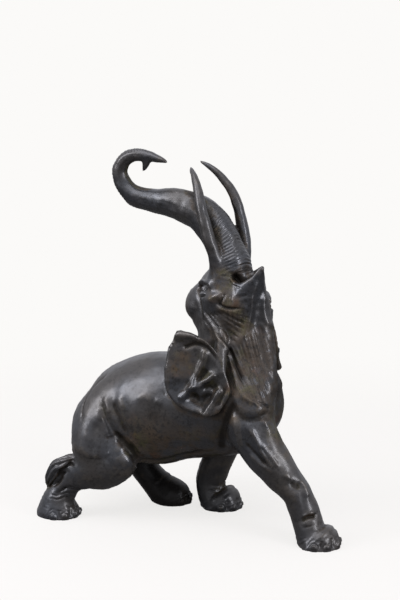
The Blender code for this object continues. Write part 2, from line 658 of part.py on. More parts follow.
def carve(mesh, lines):
    """Raises or sinks the skin along its normals beside each line, once the line is laid on the skin."""
    points, normals = points_of(mesh), normals_of(mesh)
    mesh.calc_loop_triangles()
    corners = np.empty(len(mesh.loop_triangles) * 3, np.int32)
    mesh.loop_triangles.foreach_get("vertices", corners)
    skin = BVHTree.FromPolygons(points.tolist(), corners.reshape(-1, 3).tolist())
    rise = np.zeros(len(points))
    for height, width, line in lines:
        path = smooth_rows(line, step=3.0)
        path = np.array([skin.find_nearest(corner)[0] for corner in path.tolist()])
        low, high = path.min(axis=0) - 3.0 * width, path.max(axis=0) + 3.0 * width
        near = np.all((points > low) & (points < high), axis=1)
        if not near.any():
            continue
        here = points[near]
        distance = np.full(len(here), np.inf)
        place = np.zeros(len(here))
        for number, (start, end) in enumerate(zip(path, path[1:])):
            step = end - start
            share = np.clip((here - start) @ step / max(step @ step, 1e-9), 0.0, 1.0)
            away = np.linalg.norm(here - start - share[:, None] * step, axis=1)
            better = away < distance
            distance[better] = away[better]
            place[better] = (number + share[better]) / (len(path) - 1)
        taper = np.clip(6.0 * np.minimum(place, 1.0 - place) + 0.35, 0.0, 1.0)
        rise[near] += height * taper * np.exp(-((distance / width) ** 2))
    move_points(mesh, points + rise[:, None] * normals)


def bronze():
    """Dark patinated bronze."""
    material = bpy.data.materials.new("bronze")
    material.use_nodes = True
    shader = material.node_tree.nodes["Principled BSDF"]
    shader.inputs["Base Color"].default_value = BRONZE_COLOUR
    shader.inputs["Metallic"].default_value = 1.0
    shader.inputs["Roughness"].default_value = BRONZE_ROUGHNESS
    return material


def cut_soles(mesh):
    """Cuts the feet off flat at the floor and closes each sole with one flat face."""
    bm = bmesh.new()
    bm.from_mesh(mesh)
    everything = bm.verts[:] + bm.edges[:] + bm.faces[:]
    cut = bmesh.ops.bisect_plane(
        bm, geom=everything, dist=1e-6, plane_co=(0, 0, 0), plane_no=(0, 0, -1), clear_outer=True
    )
    rims = [item for item in cut["geom_cut"] if isinstance(item, bmesh.types.BMEdge)]
    bmesh.ops.holes_fill(bm, edges=rims)
    bm.to_mesh(mesh)
    bm.free()


def stand_at_origin(mesh):
    """Moves the mesh so that the middle of its bounding box's base is the origin."""
    points = points_of(mesh)
    low, high = points.min(axis=0), points.max(axis=0)
    middle = (low + high) / 2.0
    move_points(mesh, points - (middle[0], middle[1], low[2]))


def figure_object(cell=SKIN_CELL, kept=KEPT_TRIANGLES):
    """The elephant as one closed solid."""
    figure = masses()
    skin = fused_mesh(figure, cell)
    settle(skin, figure)
    draw_tips(skin, figure)
    carve(skin, strokes())
    obj = bpy.data.objects.new("elephant", skin)
    bpy.context.scene.collection.objects.link(obj)
    if kept:
        skin.calc_loop_triangles()
        thin = obj.modifiers.new("thin", "DECIMATE")
        thin.ratio = kept / len(skin.loop_triangles)
        obj.data = evaluated(obj)
        obj.modifiers.clear()
    cut_soles(obj.data)
    stand_at_origin(obj.data)
    obj.data.shade_smooth()
    obj.data.materials.append(bronze())
    return obj


def main():
    for old in list(bpy.data.objects):
        bpy.data.objects.remove(old)
    figure_object()


if __name__ == "__main__":
    main()
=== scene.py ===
"""Bronze elephant in dark waxed patina: the casting's full relief, its material and the studio around it.

The CAD node "elephant" gives the casting's place and size. One skin replaces it: the same round masses, each
a profile carried along a path, are fused, settled onto their smooth blend, refined where the relief is fine,
carved along lines laid on the skin, and fitted to the node's box. The tables are in millimetres of a figure
712 mm high that faces +X with its left side at +Y.
"""

from contextlib import contextmanager

import bmesh
import bpy
import numpy as np
from bpy.props import FloatProperty, FloatVectorProperty, PointerProperty
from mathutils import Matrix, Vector
from mathutils.bvhtree import BVHTree


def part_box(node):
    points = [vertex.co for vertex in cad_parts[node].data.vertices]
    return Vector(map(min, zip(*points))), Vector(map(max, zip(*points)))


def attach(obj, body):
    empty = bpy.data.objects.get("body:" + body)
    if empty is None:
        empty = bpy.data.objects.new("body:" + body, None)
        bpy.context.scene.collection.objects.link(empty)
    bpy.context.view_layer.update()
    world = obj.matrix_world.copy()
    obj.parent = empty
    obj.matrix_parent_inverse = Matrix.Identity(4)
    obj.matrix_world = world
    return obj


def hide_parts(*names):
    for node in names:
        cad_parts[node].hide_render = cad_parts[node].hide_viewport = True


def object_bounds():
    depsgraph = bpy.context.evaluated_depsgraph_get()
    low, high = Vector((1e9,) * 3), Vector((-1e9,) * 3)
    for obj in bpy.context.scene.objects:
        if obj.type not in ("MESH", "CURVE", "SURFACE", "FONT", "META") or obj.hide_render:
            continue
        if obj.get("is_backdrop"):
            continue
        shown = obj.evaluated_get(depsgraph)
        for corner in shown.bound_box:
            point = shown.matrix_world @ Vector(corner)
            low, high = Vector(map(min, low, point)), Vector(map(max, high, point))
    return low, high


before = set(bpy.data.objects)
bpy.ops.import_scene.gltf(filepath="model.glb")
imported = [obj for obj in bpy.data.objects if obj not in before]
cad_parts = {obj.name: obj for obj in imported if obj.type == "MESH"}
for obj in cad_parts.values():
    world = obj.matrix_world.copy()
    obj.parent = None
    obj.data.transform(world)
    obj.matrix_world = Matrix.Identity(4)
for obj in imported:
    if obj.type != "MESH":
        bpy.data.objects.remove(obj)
CAD_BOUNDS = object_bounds()
NODE = "elephant"
NODE_LOW, NODE_HIGH = (np.array(corner, float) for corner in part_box(NODE))

bl_info = {
    "name": "Bronze Elephant",
    "version": (1, 0, 0),
    "blender": (4, 5, 0),
    "location": "View3D > Sidebar > Elephant",
    "description": "Builds a patinated bronze elephant and the studio it stands in",
    "category": "Add Mesh",
}

REFERENCE_HEIGHT = 712.0  # the tables' own height of the figure
MM = (NODE_HIGH[2] - NODE_LOW[2]) / REFERENCE_HEIGHT  # one table millimetre in metres

HEAD_TURN = np.radians(-25.0)  # the head is turned towards the figure's right
HEAD_AXIS = np.array((60.0, 0.0, 0.0))  # where the head's own upright axis stands

RING_POINTS = 28  # corners of each ring of a mass
STEP = 6.0  # distance between the rings of a mass
TIP_LENGTH = 34.0  # the end of a thin mass that is drawn out to its full length
THICKEST_TIP = 3.5  # half width that still counts as a thin end
THINNEST = 0.8  # least half width of a mass, at a tip
MOST_SHIFT = 6.0  # the furthest that one round of settling moves a corner
BRIDGE_STRETCH = 1.6  # a face of the fused skin is suspect where an edge is this many cells long
BRIDGE_GAP = 2.5  # and is taken out where its middle is this far off the form
DEEPEST = 5.0  # depth of a carved line that counts as fully deep, for the painted shade and the brown patina
HOLLOW_REACH = 26.0  # how far out of the skin the painted shade and the brown patina of the hollows look for open air

# Where the skin is refined: limits of the head and chest in z and x, the top of the feet, near a thin mass.
HEAD_LOW, HEAD_HIGH, HEAD_BACK = 330.0, 520.0, -10.0
CHEST_LOW, CHEST_BACK = 262.0, 84.0
FOOT_TOP = 40.0
NEAR = 9.0

UP = np.array((0.0, 0.0, 1.0))
LEFT = np.array((0.0, 1.0, 0.0))
HEAD_FORWARD = np.array((np.cos(HEAD_TURN), np.sin(HEAD_TURN), 0.0))
HEAD_LEFT = np.array((-np.sin(HEAD_TURN), np.cos(HEAD_TURN), 0.0))


def in_head(rows):
    """Rows that start with forward, left and up in the turned head, as rows that start with x, y and z."""
    rows = np.array(rows, float)
    place = HEAD_AXIS + rows[:, :1] * HEAD_FORWARD + rows[:, 1:2] * HEAD_LEFT + rows[:, 2:3] * UP
    return np.hstack((place, rows[:, 3:]))


def mirrored(rows):
    """The same rows on the other side of the middle plane they are given in."""
    rows = np.array(rows, float)
    rows[:, 1] *= -1
    return rows


# Each row of a mass: x, y, z, half the width across the figure, half the depth at right angles to it.
TORSO = [
    (-252, 0, 150, 14, 14),
    (-242, 0, 149, 42, 44),
    (-225, 0, 157, 66, 58),
    (-195, 0, 174, 84, 69),
    (-150, 0, 196, 96, 97),
    (-90, 0, 209, 100, 110),
    (-30, 0, 220, 98, 103),
    (30, 0, 228, 92, 100),
    (75, 0, 240, 84, 99),
    (108, 0, 256, 76, 85),
    (134, 0, 268, 60, 66),
    (151, 0, 276, 34, 36),
    (156, 0, 278, 12, 12),
]
NECK = [
    (64, -3, 236, 74, 80),
    (66, -3, 290, 66, 84),
    (68, -4, 340, 60, 76),
    (64, -3, 390, 54, 66),
    (60, -1, 430, 46, 52),
]
SKULL = in_head([
    (6, 0, 376, 40, 40),
    (2, 0, 400, 50, 62),
    (-2, 0, 430, 55, 72),
    (0, 0, 458, 52, 61),
    (7, 0, 484, 41, 40),
    (7, 0, 506, 33, 33),
])
THROAT = in_head([
    (62, 14, 468, 10, 10),
    (64, 18, 444, 15, 15),
    (66, 21, 404, 19, 19),
    (72, 18, 362, 22, 22),
    (84, 8, 320, 24, 24),
    (98, 0, 286, 22, 22),
])
EAR_ROOTS = [
    [(62, -40, 396, 13, 12), (68, -62, 378, 13, 12), (74, -80, 350, 12, 12), (80, -92, 318, 9, 9)],
    [(88, 36, 404, 12, 12), (98, 52, 388, 12, 12), (106, 62, 362, 12, 12), (110, 66, 330, 10, 10)],
]
DOME = [(-44, 24, 400, 24, 24), (-51, 24, 418, 31, 31), (-46, 24, 438, 27, 27), (-36, 22, 452, 18, 18)]
JAW = in_head([
    (14, 0, 356, 18, 18),
    (24, 0, 374, 30, 26),
    (38, 0, 408, 38, 30),
    (46, 0, 440, 38, 29),
    (54, 0, 464, 32, 27),
    (67, 0, 482, 23, 18),
    (78, 0, 496, 14, 10),
    (86, 0, 505, 5, 5),
])
TUSK_SHEATH = [(2, 33, 458, 16, 21), (3, 34, 484, 15, 19), (2, 35, 506, 12, 14), (-1, 38, 524, 11, 12)]
TUSK = [
    (4, 34, 480, 11, 12),
    (1, 39, 523, 12, 12),
    (-8, 45, 552, 12, 12),
    (-18, 47, 584, 11, 11),
    (-29, 46, 614, 10, 10),
    (-43, 41, 641, 8.6, 8.6),
    (-62, 32, 664, 6.8, 6.8),
]
LEFT_TIP = [(-83, 20, 682, 4.6, 4.6), (-94, 14, 688, 2.4, 2.4)]
RIGHT_TIP = [(-76, 25, 674, 4.6, 4.6), (-83, 22, 679, 2.4, 2.4)]

TRUNK = [
    (58, 2, 440, 42, 46),
    (62, -1, 478, 37, 42),
    (58, 0, 506, 34, 38),
    (50, 4, 530, 33, 36),
    (37, 9, 553, 32, 36),
    (18, 14, 575, 31, 36),
    (-7, 19, 594, 30, 34),
    (-36, 22, 603.5, 28, 32),
    (-68, 24, 610.5, 26, 28),
    (-98, 24, 612, 23, 23.5),
    (-126, 23, 615.5, 21, 21),
    (-149, 22, 623, 19.5, 19.5),
    (-167, 20, 644, 16.5, 16.5),
    (-173, 18, 668, 14, 14.5),
    (-161, 17, 690, 13, 13.5),
    (-142, 16, 699, 12.5, 12.5),
    (-118, 15, 699, 11.5, 11),
    (-96, 14, 695, 9.5, 8),
    (-80, 13, 691, 6.5, 5),
    (-74, 13, 689, 3, 2.5),
]
SPUR = [(-114, 14, 692, 8, 8), (-118, 14, 680, 6, 6), (-121, 14, 671, 2.5, 2.5)]
LEGS = {
    "right_fore": [
        (92, -46, 300, 34, 44),
        (112, -56, 256, 42, 56),
        (126, -62, 214, 42, 47),
        (151, -64, 172, 36, 42),
        (184, -64, 132, 32, 35),
        (217, -64, 96, 29, 28),
        (233, -65, 66, 27, 28),
        (242, -66, 42, 28, 28),
        (249, -67, 22, 31, 30),
        (260, -67, 7, 40, 43),
        (261, -67, -8, 39, 42),
    ],
    "left_fore": [
        (70, 46, 290, 36, 46),
        (56, 58, 240, 42, 54),
        (40, 66, 190, 38, 46),
        (26, 70, 145, 33, 36),
        (14, 71, 105, 29, 31),
        (0, 72, 72, 28, 30),
        (-5, 72, 46, 27, 30),
        (0, 72, 23, 32, 31),
        (14, 72, 8, 40, 44),
        (14, 72, -6, 38, 42),
    ],
    "right_hind": [
        (-160, -40, 224, 44, 48),
        (-172, -52, 184, 50, 68),
        (-175, -68, 144, 45, 60),
        (-148, -76, 122, 38, 48),
        (-172, -82, 101, 34, 42),
        (-204, -86, 91, 31, 35),
        (-231, -89, 75, 28, 28),
        (-248, -91, 53, 25, 26),
        (-259, -92, 32, 31, 33),
        (-261, -92, 8, 39, 43),
        (-261, -92, -6, 38, 42),
    ],
    "right_haunch": [
        (-184, -52, 206, 38, 40),
        (-187, -68, 178, 39, 40),
        (-189, -78, 152, 38, 39),
        (-193, -82, 128, 34, 36),
        (-199, -84, 106, 29, 30),
    ],
    "left_hind": [
        (-168, 42, 224, 44, 52),
        (-172, 52, 186, 48, 60),
        (-168, 58, 150, 42, 50),
        (-160, 62, 112, 34, 40),
        (-155, 64, 78, 28, 31),
        (-134, 65, 48, 28, 28),
        (-110, 65, 26, 32, 33),
        (-88, 65, 8, 37, 40),
        (-88, 65, -6, 36, 39),
    ],
}
TAIL = [
    (-190, -4, 256, 13, 13),
    (-212, -14, 238, 11, 11),
    (-229, -26, 213, 9.5, 9.5),
    (-237, -38, 184, 8, 8),
    (-238, -52, 158, 7.5, 7.5),
    (-233, -68, 142, 8, 8),
    (-224, -84, 133, 9, 9),
]
TAIL_TUFT = [
    (-211, -98, 121, 11, 11),
    (-234, -101, 111, 15, 14),
    (-255, -102, 98, 16, 15),
    (-270, -102, 78, 13, 13),
    (-277, -100, 60, 5, 5),
]

# The right ear in its own plane: across towards the figure's back, and up, from its middle.
RIGHT_EAR = np.array((38.0, -101.0, 306.0))
LEFT_EAR = np.array((107.0, 86.0, 355.0))
LEFT_EAR_UP = np.array((-0.13, -0.05, 0.99))
EAR_BACK = np.array((-0.98, -0.2, 0.0))
RIGHT_EAR_UP = np.array((0.03, 0.15, 0.99))
EAR_OUTLINE = [
    (40, 86), (52, 59), (58, 44), (60, 4), (60, -22), (54, -38), (41, -52), (23, -61), (-4, -68),
    (-20, -70), (-38, -64), (-49, -49), (-57, -33), (-61, -16), (-57, 0), (-49, 17), (-41, 37), (-27, 58),
    (-10, 72), (10, 80),
]
EAR_THICKNESS = 8.0
EAR_CUP = 6.0  # how far the rim stands out past the middle of the ear
EAR_CORNERS = 64
EAR_RINGS = 14
# Each fold: how far it stands out, its width, and its line on the ear.
EAR_FOLDS = [
    (6.0, 6.5, [(41, 74), (11, 75), (-15, 70), (-27, 62), (-36, 54), (-46, 42), (-53, 24)]),  # rolled rim
    (-4.5, 4.0, [(24, 54), (8, 61), (-6, 61), (-17, 57), (-27, 48), (-38, 36), (-48, 22)]),
    (7.0, 5.5, [(-13, 48), (-9, 32), (-4, 18), (3, 1), (11, -17), (19, -30), (28, -40)]),  # forked ridge
    (7.0, 6.5, [(-29, 7), (-18, -4), (-5, -15), (11, -21)]),
    (-5.0, 6.0, [(-3, 0), (-13, 12)]),  # hollows
    (-12.0, 11.0, [(7, -40), (-7, -47), (-20, -34)]),
    (-8.0, 8.0, [(-14, -16), (-29, -16)]),
    (8.0, 5.5, [(-40, -22), (-29, -41), (-20, -58), (-15, -69)]),  # low ridge
    (-4.0, 6.0, [(-51, -20), (-42, -44)]),
    (2.5, 18.0, [(38, 30), (36, 0)]),
]
# Each fold of the head: how far it stands out, its width, and its line forward, left and up on the right.
HEAD_FOLDS = [
    (-12.0, 7.0, [(36, -26, 488), (48, -20, 484), (62, -14, 486), (76, -7, 497)]),  # mouth
    (3.0, 4.0, [(34, -31, 487), (39, -30, 479), (51, -29, 472)]),  # lower lip
    (-3.4, 3.5, [(25, -53, 437), (40, -47, 431), (58, -36, 431)]),  # crease under the cheek
    (-3.5, 3.5, [(25, -53, 437), (31, -49, 447), (34, -44, 456)]),
    (5.0, 8.0, [(4, -57, 442), (17, -54, 450), (28, -49, 452)]),  # cheek
    (-4.0, 6.0, [(-36, -47, 460), (-22, -50, 463), (-4, -55, 462)]),  # eye socket
    (3.6, 3.0, [(-25, -50, 462), (-19, -51, 462)]),  # eyeball
    (3.5, 4.0, [(-42, -44, 465), (-29, -44, 471), (-4, -54, 474), (7, -55, 465)]),  # brow
    (-4.0, 5.0, [(-42, -44, 465), (-28, -53, 443), (-17, -56, 416), (-13, -56, 392)]),  # behind the face
    (2.4, 5.0, [(79, -6, 480), (74, -14, 455), (74, -14, 425), (71, -24, 388), (64, -36, 371)]),  # jaw
    (-2.0, 2.5, [(57, -34, 452), (69, -20, 456)]),
]
# Fans of like folds: how far they stand out, their width, how many, the line their starts stand on and the
# line their ends stand on, forward, left and up on the right side of the head.
HEAD_FANS = [
    (-2.8, 3.5, 5, [(-8, -58, 420), (30, -54, 424)], [(58, -40, 368), (68, -26, 402)]),  # jowl
    (-1.6, 6.0, 4, [(50, -48, 352), (75, -2, 398)], [(126, -52, 262), (114, -1, 272)]),  # throat
]
# The same for the body, in x, y and z on the right side, each on the left side too where that is said.
BODY_FOLDS = [
    (3.5, 3.5, False, [(44, -64, 395), (64, -81, 384), (81, -83, 370), (86, -71, 346), (98, -80, 320)]),
    (-4.0, 3.5, False, [(51, -63, 398), (74, -79, 384), (85, -71, 363), (93, -68, 336), (122, -87, 296)]),
    (3.0, 4.0, False, [(98, -80, 320), (118, -97, 285), (137, -96, 271), (158, -90, 262)]),
    (-4.0, 3.0, False, [(-15, -105, 293), (-14, -105, 276), (-9, -105, 260)]),  # flank behind the ear
    (4.5, 8.0, False, [(-32, -98, 326), (-34, -102, 308), (-32, -103, 290)]),
    (-5.0, 7.0, True, [(103, -97, 260), (116, -101, 244), (140, -101, 235), (169, -75, 243)]),  # shoulder
    (-3.0, 3.0, False, [(150, -92, 267), (161, -87, 262), (171, -70, 251)]),
    (-6.0, 8.0, True, [(103, -97, 260), (90, -95, 228), (78, -79, 192), (68, -57, 157)]),  # behind the elbow
    (5.0, 7.0, True, [(112, -102, 232), (118, -101, 206), (124, -95, 183)]),  # muscles of the foreleg
    (3.0, 5.0, True, [(166, -89, 234), (174, -89, 224), (182, -89, 212)]),
    (4.5, 5.0, False, [(140, -103, 220), (154, -102, 195), (169, -99, 169), (189, -96, 144)]),
    (-4.0, 5.0, False, [(132, -98, 190), (150, -98, 172), (170, -97, 150)]),
    (3.0, 4.0, False, [(139, -103, 167), (156, -103, 153), (184, -104, 138)]),
    (2.5, 2.8, False, [(167, -107, 190), (180, -105, 174), (196, -100, 153)]),
    (-2.5, 2.2, False, [(163, -107, 186), (176, -106, 168), (193, -103, 144)]),
    (-4.5, 7.0, True, [(217, -94, 122), (226, -91, 114), (233, -82, 116)]),  # knee
    (3.0, 5.0, True, [(231, -78, 124), (239, -76, 113), (248, -80, 95)]),
    (3.0, 5.0, True, [(208, -96, 138), (217, -94, 129)]),
    (-1.6, 6.0, True, [(236, -90, 106), (243, -94, 85), (249, -95, 63)]),  # shin
    (-4.0, 4.0, False, [(239, -93, 51), (251, -89, 58), (261, -79, 59)]),  # wrist
    (2.5, 3.0, False, [(242, -97, 59), (252, -92, 66), (262, -82, 67)]),
    (-3.0, 3.5, False, [(-204, -103, 199), (-211, -80, 229), (-202, -62, 255), (-180, -49, 280)]),  # tail
    (3.0, 8.0, True, [(-170, -100, 228), (-166, -104, 217), (-166, -107, 204)]),  # from flank to thigh
    (3.0, 7.0, True, [(-162, -93, 247), (-153, -100, 233), (-146, -104, 218)]),
    (-2.5, 4.0, True, [(-168, -95, 240), (-158, -102, 225), (-150, -107, 206), (-123, -96, 165)]),
    (3.0, 8.0, True, [(-130, -94, 256), (-123, -100, 242), (-117, -105, 227)]),
    (-3.5, 6.0, True, [(-143, -98, 240), (-134, -104, 223), (-123, -106, 201), (-112, -104, 178)]),
    (2.5, 10.0, True, [(-92, -100, 251), (-76, -98, 260), (-57, -100, 255)]),
    (2.0, 6.0, True, [(-51, -100, 255), (-38, -102, 249)]),
    (-3.0, 18.0, True, [(-66, -107, 219), (-40, -107, 220)]),
    (-7.0, 7.0, True, [(-131, -103, 175), (-116, -99, 160), (-103, -90, 143), (-99, -77, 120)]),  # thigh
    (3.0, 4.0, True, [(-106, -101, 170), (-95, -96, 156), (-87, -84, 138)]),
    (-1.5, 6.0, True, [(-171, -110, 195), (-173, -117, 161), (-175, -118, 127)]),
    (-1.5, 6.0, True, [(-145, -108, 183), (-146, -115, 153), (-148, -121, 123)]),
    (-4.0, 6.0, True, [(-98, -65, 117), (-61, -55, 120), (-19, -55, 135), (36, -64, 156)]),  # belly
    (-3.0, 3.5, False, [(-253, -118, 48), (-234, -118, 62), (-220, -112, 66)]),  # hind ankle
    (-6.0, 4.0, False, [(-220, -112, 118), (-236, -116, 100), (-251, -116, 78), (-262, -112, 66)]),  # tuft
    (2.5, 10.0, False, [(-220, -104, 147), (-203, -112, 142), (-180, -114, 136), (-162, -113, 131)]),
]
# Each foot: where its sole's middle stands, its radius there and the turn of its toes.
FEET = [
    (260, -67, 41.0, -0.15),
    (14, 72, 41.0, 0.1),
    (-260, -92, 42.0, -0.5),
    (-88, 65, 39.0, 0.3),
]
NAILS = (5, 5, 4, 4)  # on each foot
NAIL_SPREAD = 0.62  # turn between neighbouring nails
NAIL_WIDTH = 5.0
NAIL_TOP = 13.0
TOE_TOP = 24.0  # top of the grooves between the toes

# Creases part way round a limb: the leg, the way they face, and each crease's height, tilt and half turn.
LIMB_CREASES = [
    ("right_fore", -0.5, [(62, 5, 0.7), (43, 3, 1.0)]),
    ("left_fore", -0.2, [(50, 3, 1.0), (40, 2, 1.2), (34, 2, 0.9)]),
    ("right_hind", -0.9, [(60, 5, 0.9), (50, 3, 1.2), (42, 2, 0.9)]),
    ("left_hind", 0.2, [(50, 3, 1.0), (40, 2, 1.2)]),
]
LIMB_CREASE = (-1.6, 1.7)  # how far each stands out, and its width
LIMB_REACH = 30.0  # how far from the leg's middle the creases are drawn, before they are laid on the skin
# Fans of narrow folds on the head, as in HEAD_FANS, each on the left side too where that is said, then single
# narrow lines on it, and lines in x, y and z.
FINE_FANS = [
    (-1.0, 1.4, 15, False, [(-14, -57, 408), (36, -51, 427)], [(50, -44, 358), (71, -18, 412)]),
    (-0.9, 1.9, 10, True, [(46, -50, 350), (76, -6, 396)], [(124, -56, 264), (118, -8, 276)]),
    (-1.2, 1.6, 5, False, [(32, -50, 450), (46, -42, 455)], [(30, -51, 438), (50, -40, 436)]),
    (-1.2, 1.6, 5, False, [(42, -44, 428), (70, -20, 428)], [(44, -46, 404), (70, -26, 404)]),
]
FINE_LINES = [
    (-2.6, 1.8, [(-34, -47, 461), (-28, -48, 468), (-19, -51, 469), (-10, -54, 462)]),  # upper lid
    (-2.2, 1.7, [(-33, -48, 459), (-26, -50, 455), (-17, -52, 455), (-10, -54, 460)]),  # lower lid
    (1.4, 2.2, [(-38, -44, 465), (-28, -46, 474), (-16, -51, 475), (-4, -55, 467)]),  # fold over the eye
    (1.2, 2.0, [(-32, -49, 451), (-21, -52, 449), (-8, -55, 454)]),  # bag under the eye
    (-2.0, 1.6, [(-33, -49, 447), (-20, -53, 444), (-6, -56, 449)]),
    (-2.4, 1.7, [(22, -54, 438), (40, -47, 431), (63, -32, 431)]),  # crease under the cheek
    (-5.0, 5.0, [(40, -24, 487), (50, -18, 485), (62, -12, 487), (72, -7, 494)]),  # floor of the mouth
    (-2.0, 2.0, [(34, -34, 484), (42, -32, 474), (58, -27, 468)]),  # under the lip
]
FINE_FOLDS = [
    (-1.8, 2.0, [(-30, -95, 300), (-38, -88, 280), (-36, -92, 262)]),
    (-1.5, 2.0, [(-160, -100, 210), (-150, -103, 190), (-142, -104, 172)]),
]
LOW_BODY = (165.0, 250.0)  # heights between which the painted shadow of the left legs and the earth of the low parts fade out
# Patches of brown and olive in the patina: x, y, z and radius.
EARTHY = [
    (56, -62, 476, 40),
    (14, -60, 470, 24),
    (100, -62, 392, 34),
    (118, -92, 280, 34),
    (120, -60, 330, 30),
    (10, -112, 330, 30),
    (86, -70, 430, 34),
    (96, -98, 250, 30),
]
COAT_ROUGHNESS = 0.25
BUMP_DEPTH = 0.0008  # depth of the grain in the skin, in metres

AIM = (-0.0008, -0.0050, 0.4300)  # where the camera and the lights look
# Each softbox: name, azimuth and elevation of its place, its distance, its size and its radiance.
SOFTBOX_COLOUR = (0.93, 0.935, 1.00)
SOFTBOXES = [
    ("left", -50.0, 28.0, 2.4, (0.7, 1.7), 10.5),
    ("right", 72.0, 12.0, 2.4, (0.5, 1.7), 14.0),
    ("top", -20.0, 70.0, 2.4, (2.4, 2.0), 3.2),
]


class Mass:
    """A round mass: an ellipse of changing size carried along a smooth path, with a reach to blend over."""

    def __init__(self, rows, side=LEFT, side_end=None, blend=14.0):
        rows = smooth_rows(rows)
        self.blend = blend
        self.centre = rows[:, :3]
        self.half = np.maximum(rows[:, 3:5], THINNEST)
        run = np.gradient(self.centre, axis=0)
        self.along = run / np.linalg.norm(run, axis=1, keepdims=True)
        share = np.linspace(0.0, 1.0, len(rows))[:, None]
        hint = side * (1.0 - share) + (side if side_end is None else side_end) * share
        across = hint - np.sum(hint * self.along, axis=1, keepdims=True) * self.along
        self.across = across / np.linalg.norm(across, axis=1, keepdims=True)
        self.deep = np.cross(self.along, self.across)
        steps = np.linalg.norm(np.diff(self.centre, axis=0), axis=1)
        self.walked = np.concatenate(((0.0,), np.cumsum(steps)))
        self.slope = np.gradient(self.half.mean(axis=1), self.walked)
        reach = self.half.max(axis=1, keepdims=True) + 3.0 * blend
        self.low = (self.centre - reach).min(axis=0)
        self.high = (self.centre + reach).max(axis=0)

    def coordinates(self, points):
        """The row before each point on the mass's path, and the point's share of the way to the next row."""
        last = len(self.centre) - 1
        nearest = (np.sum(self.centre**2, axis=1) - 2.0 * points @ self.centre.T).argmin(axis=1)
        best = np.full(len(points), np.inf)
        row = np.zeros(len(points), int)
        share = np.zeros(len(points))
        for shift in (-1, 0):
            start = np.clip(nearest + shift, 0, last - 1)
            step = self.centre[start + 1] - self.centre[start]
            place = np.sum((points - self.centre[start]) * step, axis=1) / np.sum(step**2, axis=1)
            place = np.clip(place, 0.0, 1.0)
            distance = np.sum((points - self.centre[start] - place[:, None] * step) ** 2, axis=1)
            better = distance < best
            best[better] = distance[better]
            row[better] = start[better]
            share[better] = place[better]
        return row, share

    def read(self, values, row, share):
        """A row value between its rows."""
        if values.ndim > 1:
            share = share[:, None]
        return values[row] * (1.0 - share) + values[row + 1] * share

    def gap(self, points):
        """Distance from each point out to the mass's surface, below zero inside."""
        row, share = self.coordinates(points)
        offset = points - self.read(self.centre, row, share)
        half = self.read(self.half, row, share)
        across = np.sum(offset * self.read(self.across, row, share), axis=1)
        deep = np.sum(offset * self.read(self.deep, row, share), axis=1)
        beyond = np.sum(offset * self.read(self.along, row, share), axis=1)
        shares = np.stack((across / half[:, 0], deep / half[:, 1], beyond / half.min(axis=1)))
        swell = np.maximum(np.linalg.norm(shares, axis=0), 1e-3)
        distance = np.linalg.norm(offset, axis=1)
        return distance * (1.0 - 1.0 / swell) / np.sqrt(1.0 + self.read(self.slope, row, share) ** 2)

    def add_to(self, bm):
        """Adds the mass to a mesh as rings of corners joined by quads, with flat ends."""
        turn = np.arange(RING_POINTS) * 2.0 * np.pi / RING_POINTS
        rings = []
        for centre, half, across, deep in zip(self.centre, self.half, self.across, self.deep):
            ring = centre + np.outer(np.cos(turn) * half[0], across) + np.outer(np.sin(turn) * half[1], deep)
            rings.append([bm.verts.new(corner * MM) for corner in ring])
        join_rings(bm, rings)


def smooth_rows(rows, step=STEP):
    """Rows read about one step apart from a smooth curve through the given rows."""
    rows = np.array(rows, float)
    held = np.vstack((2 * rows[0] - rows[1], rows, 2 * rows[-1] - rows[-2]))
    made = []
    for before, start, end, after in zip(held, held[1:], held[2:], held[3:]):
        count = max(2, int(np.ceil(np.linalg.norm(end[:3] - start[:3]) / step)))
        t = np.arange(count)[:, None] / count
        made.append(
            start
            + 0.5 * t * (end - before)
            + t**2 * (before - 2.5 * start + 2.0 * end - 0.5 * after)
            + t**3 * (1.5 * (start - end) + 0.5 * (after - before))
        )
    return np.vstack(made + [rows[-1:]])


def join_rings(bm, rings):
    """Quads between neighbouring rings of corners, and one flat face at each end."""
    for ring, following in zip(rings, rings[1:]):
        for i, corner in enumerate(ring):
            j = (i + 1) % len(ring)
            bm.faces.new((corner, ring[j], following[j], following[i]))
    bm.faces.new(rings[0][::-1])
    bm.faces.new(rings[-1])


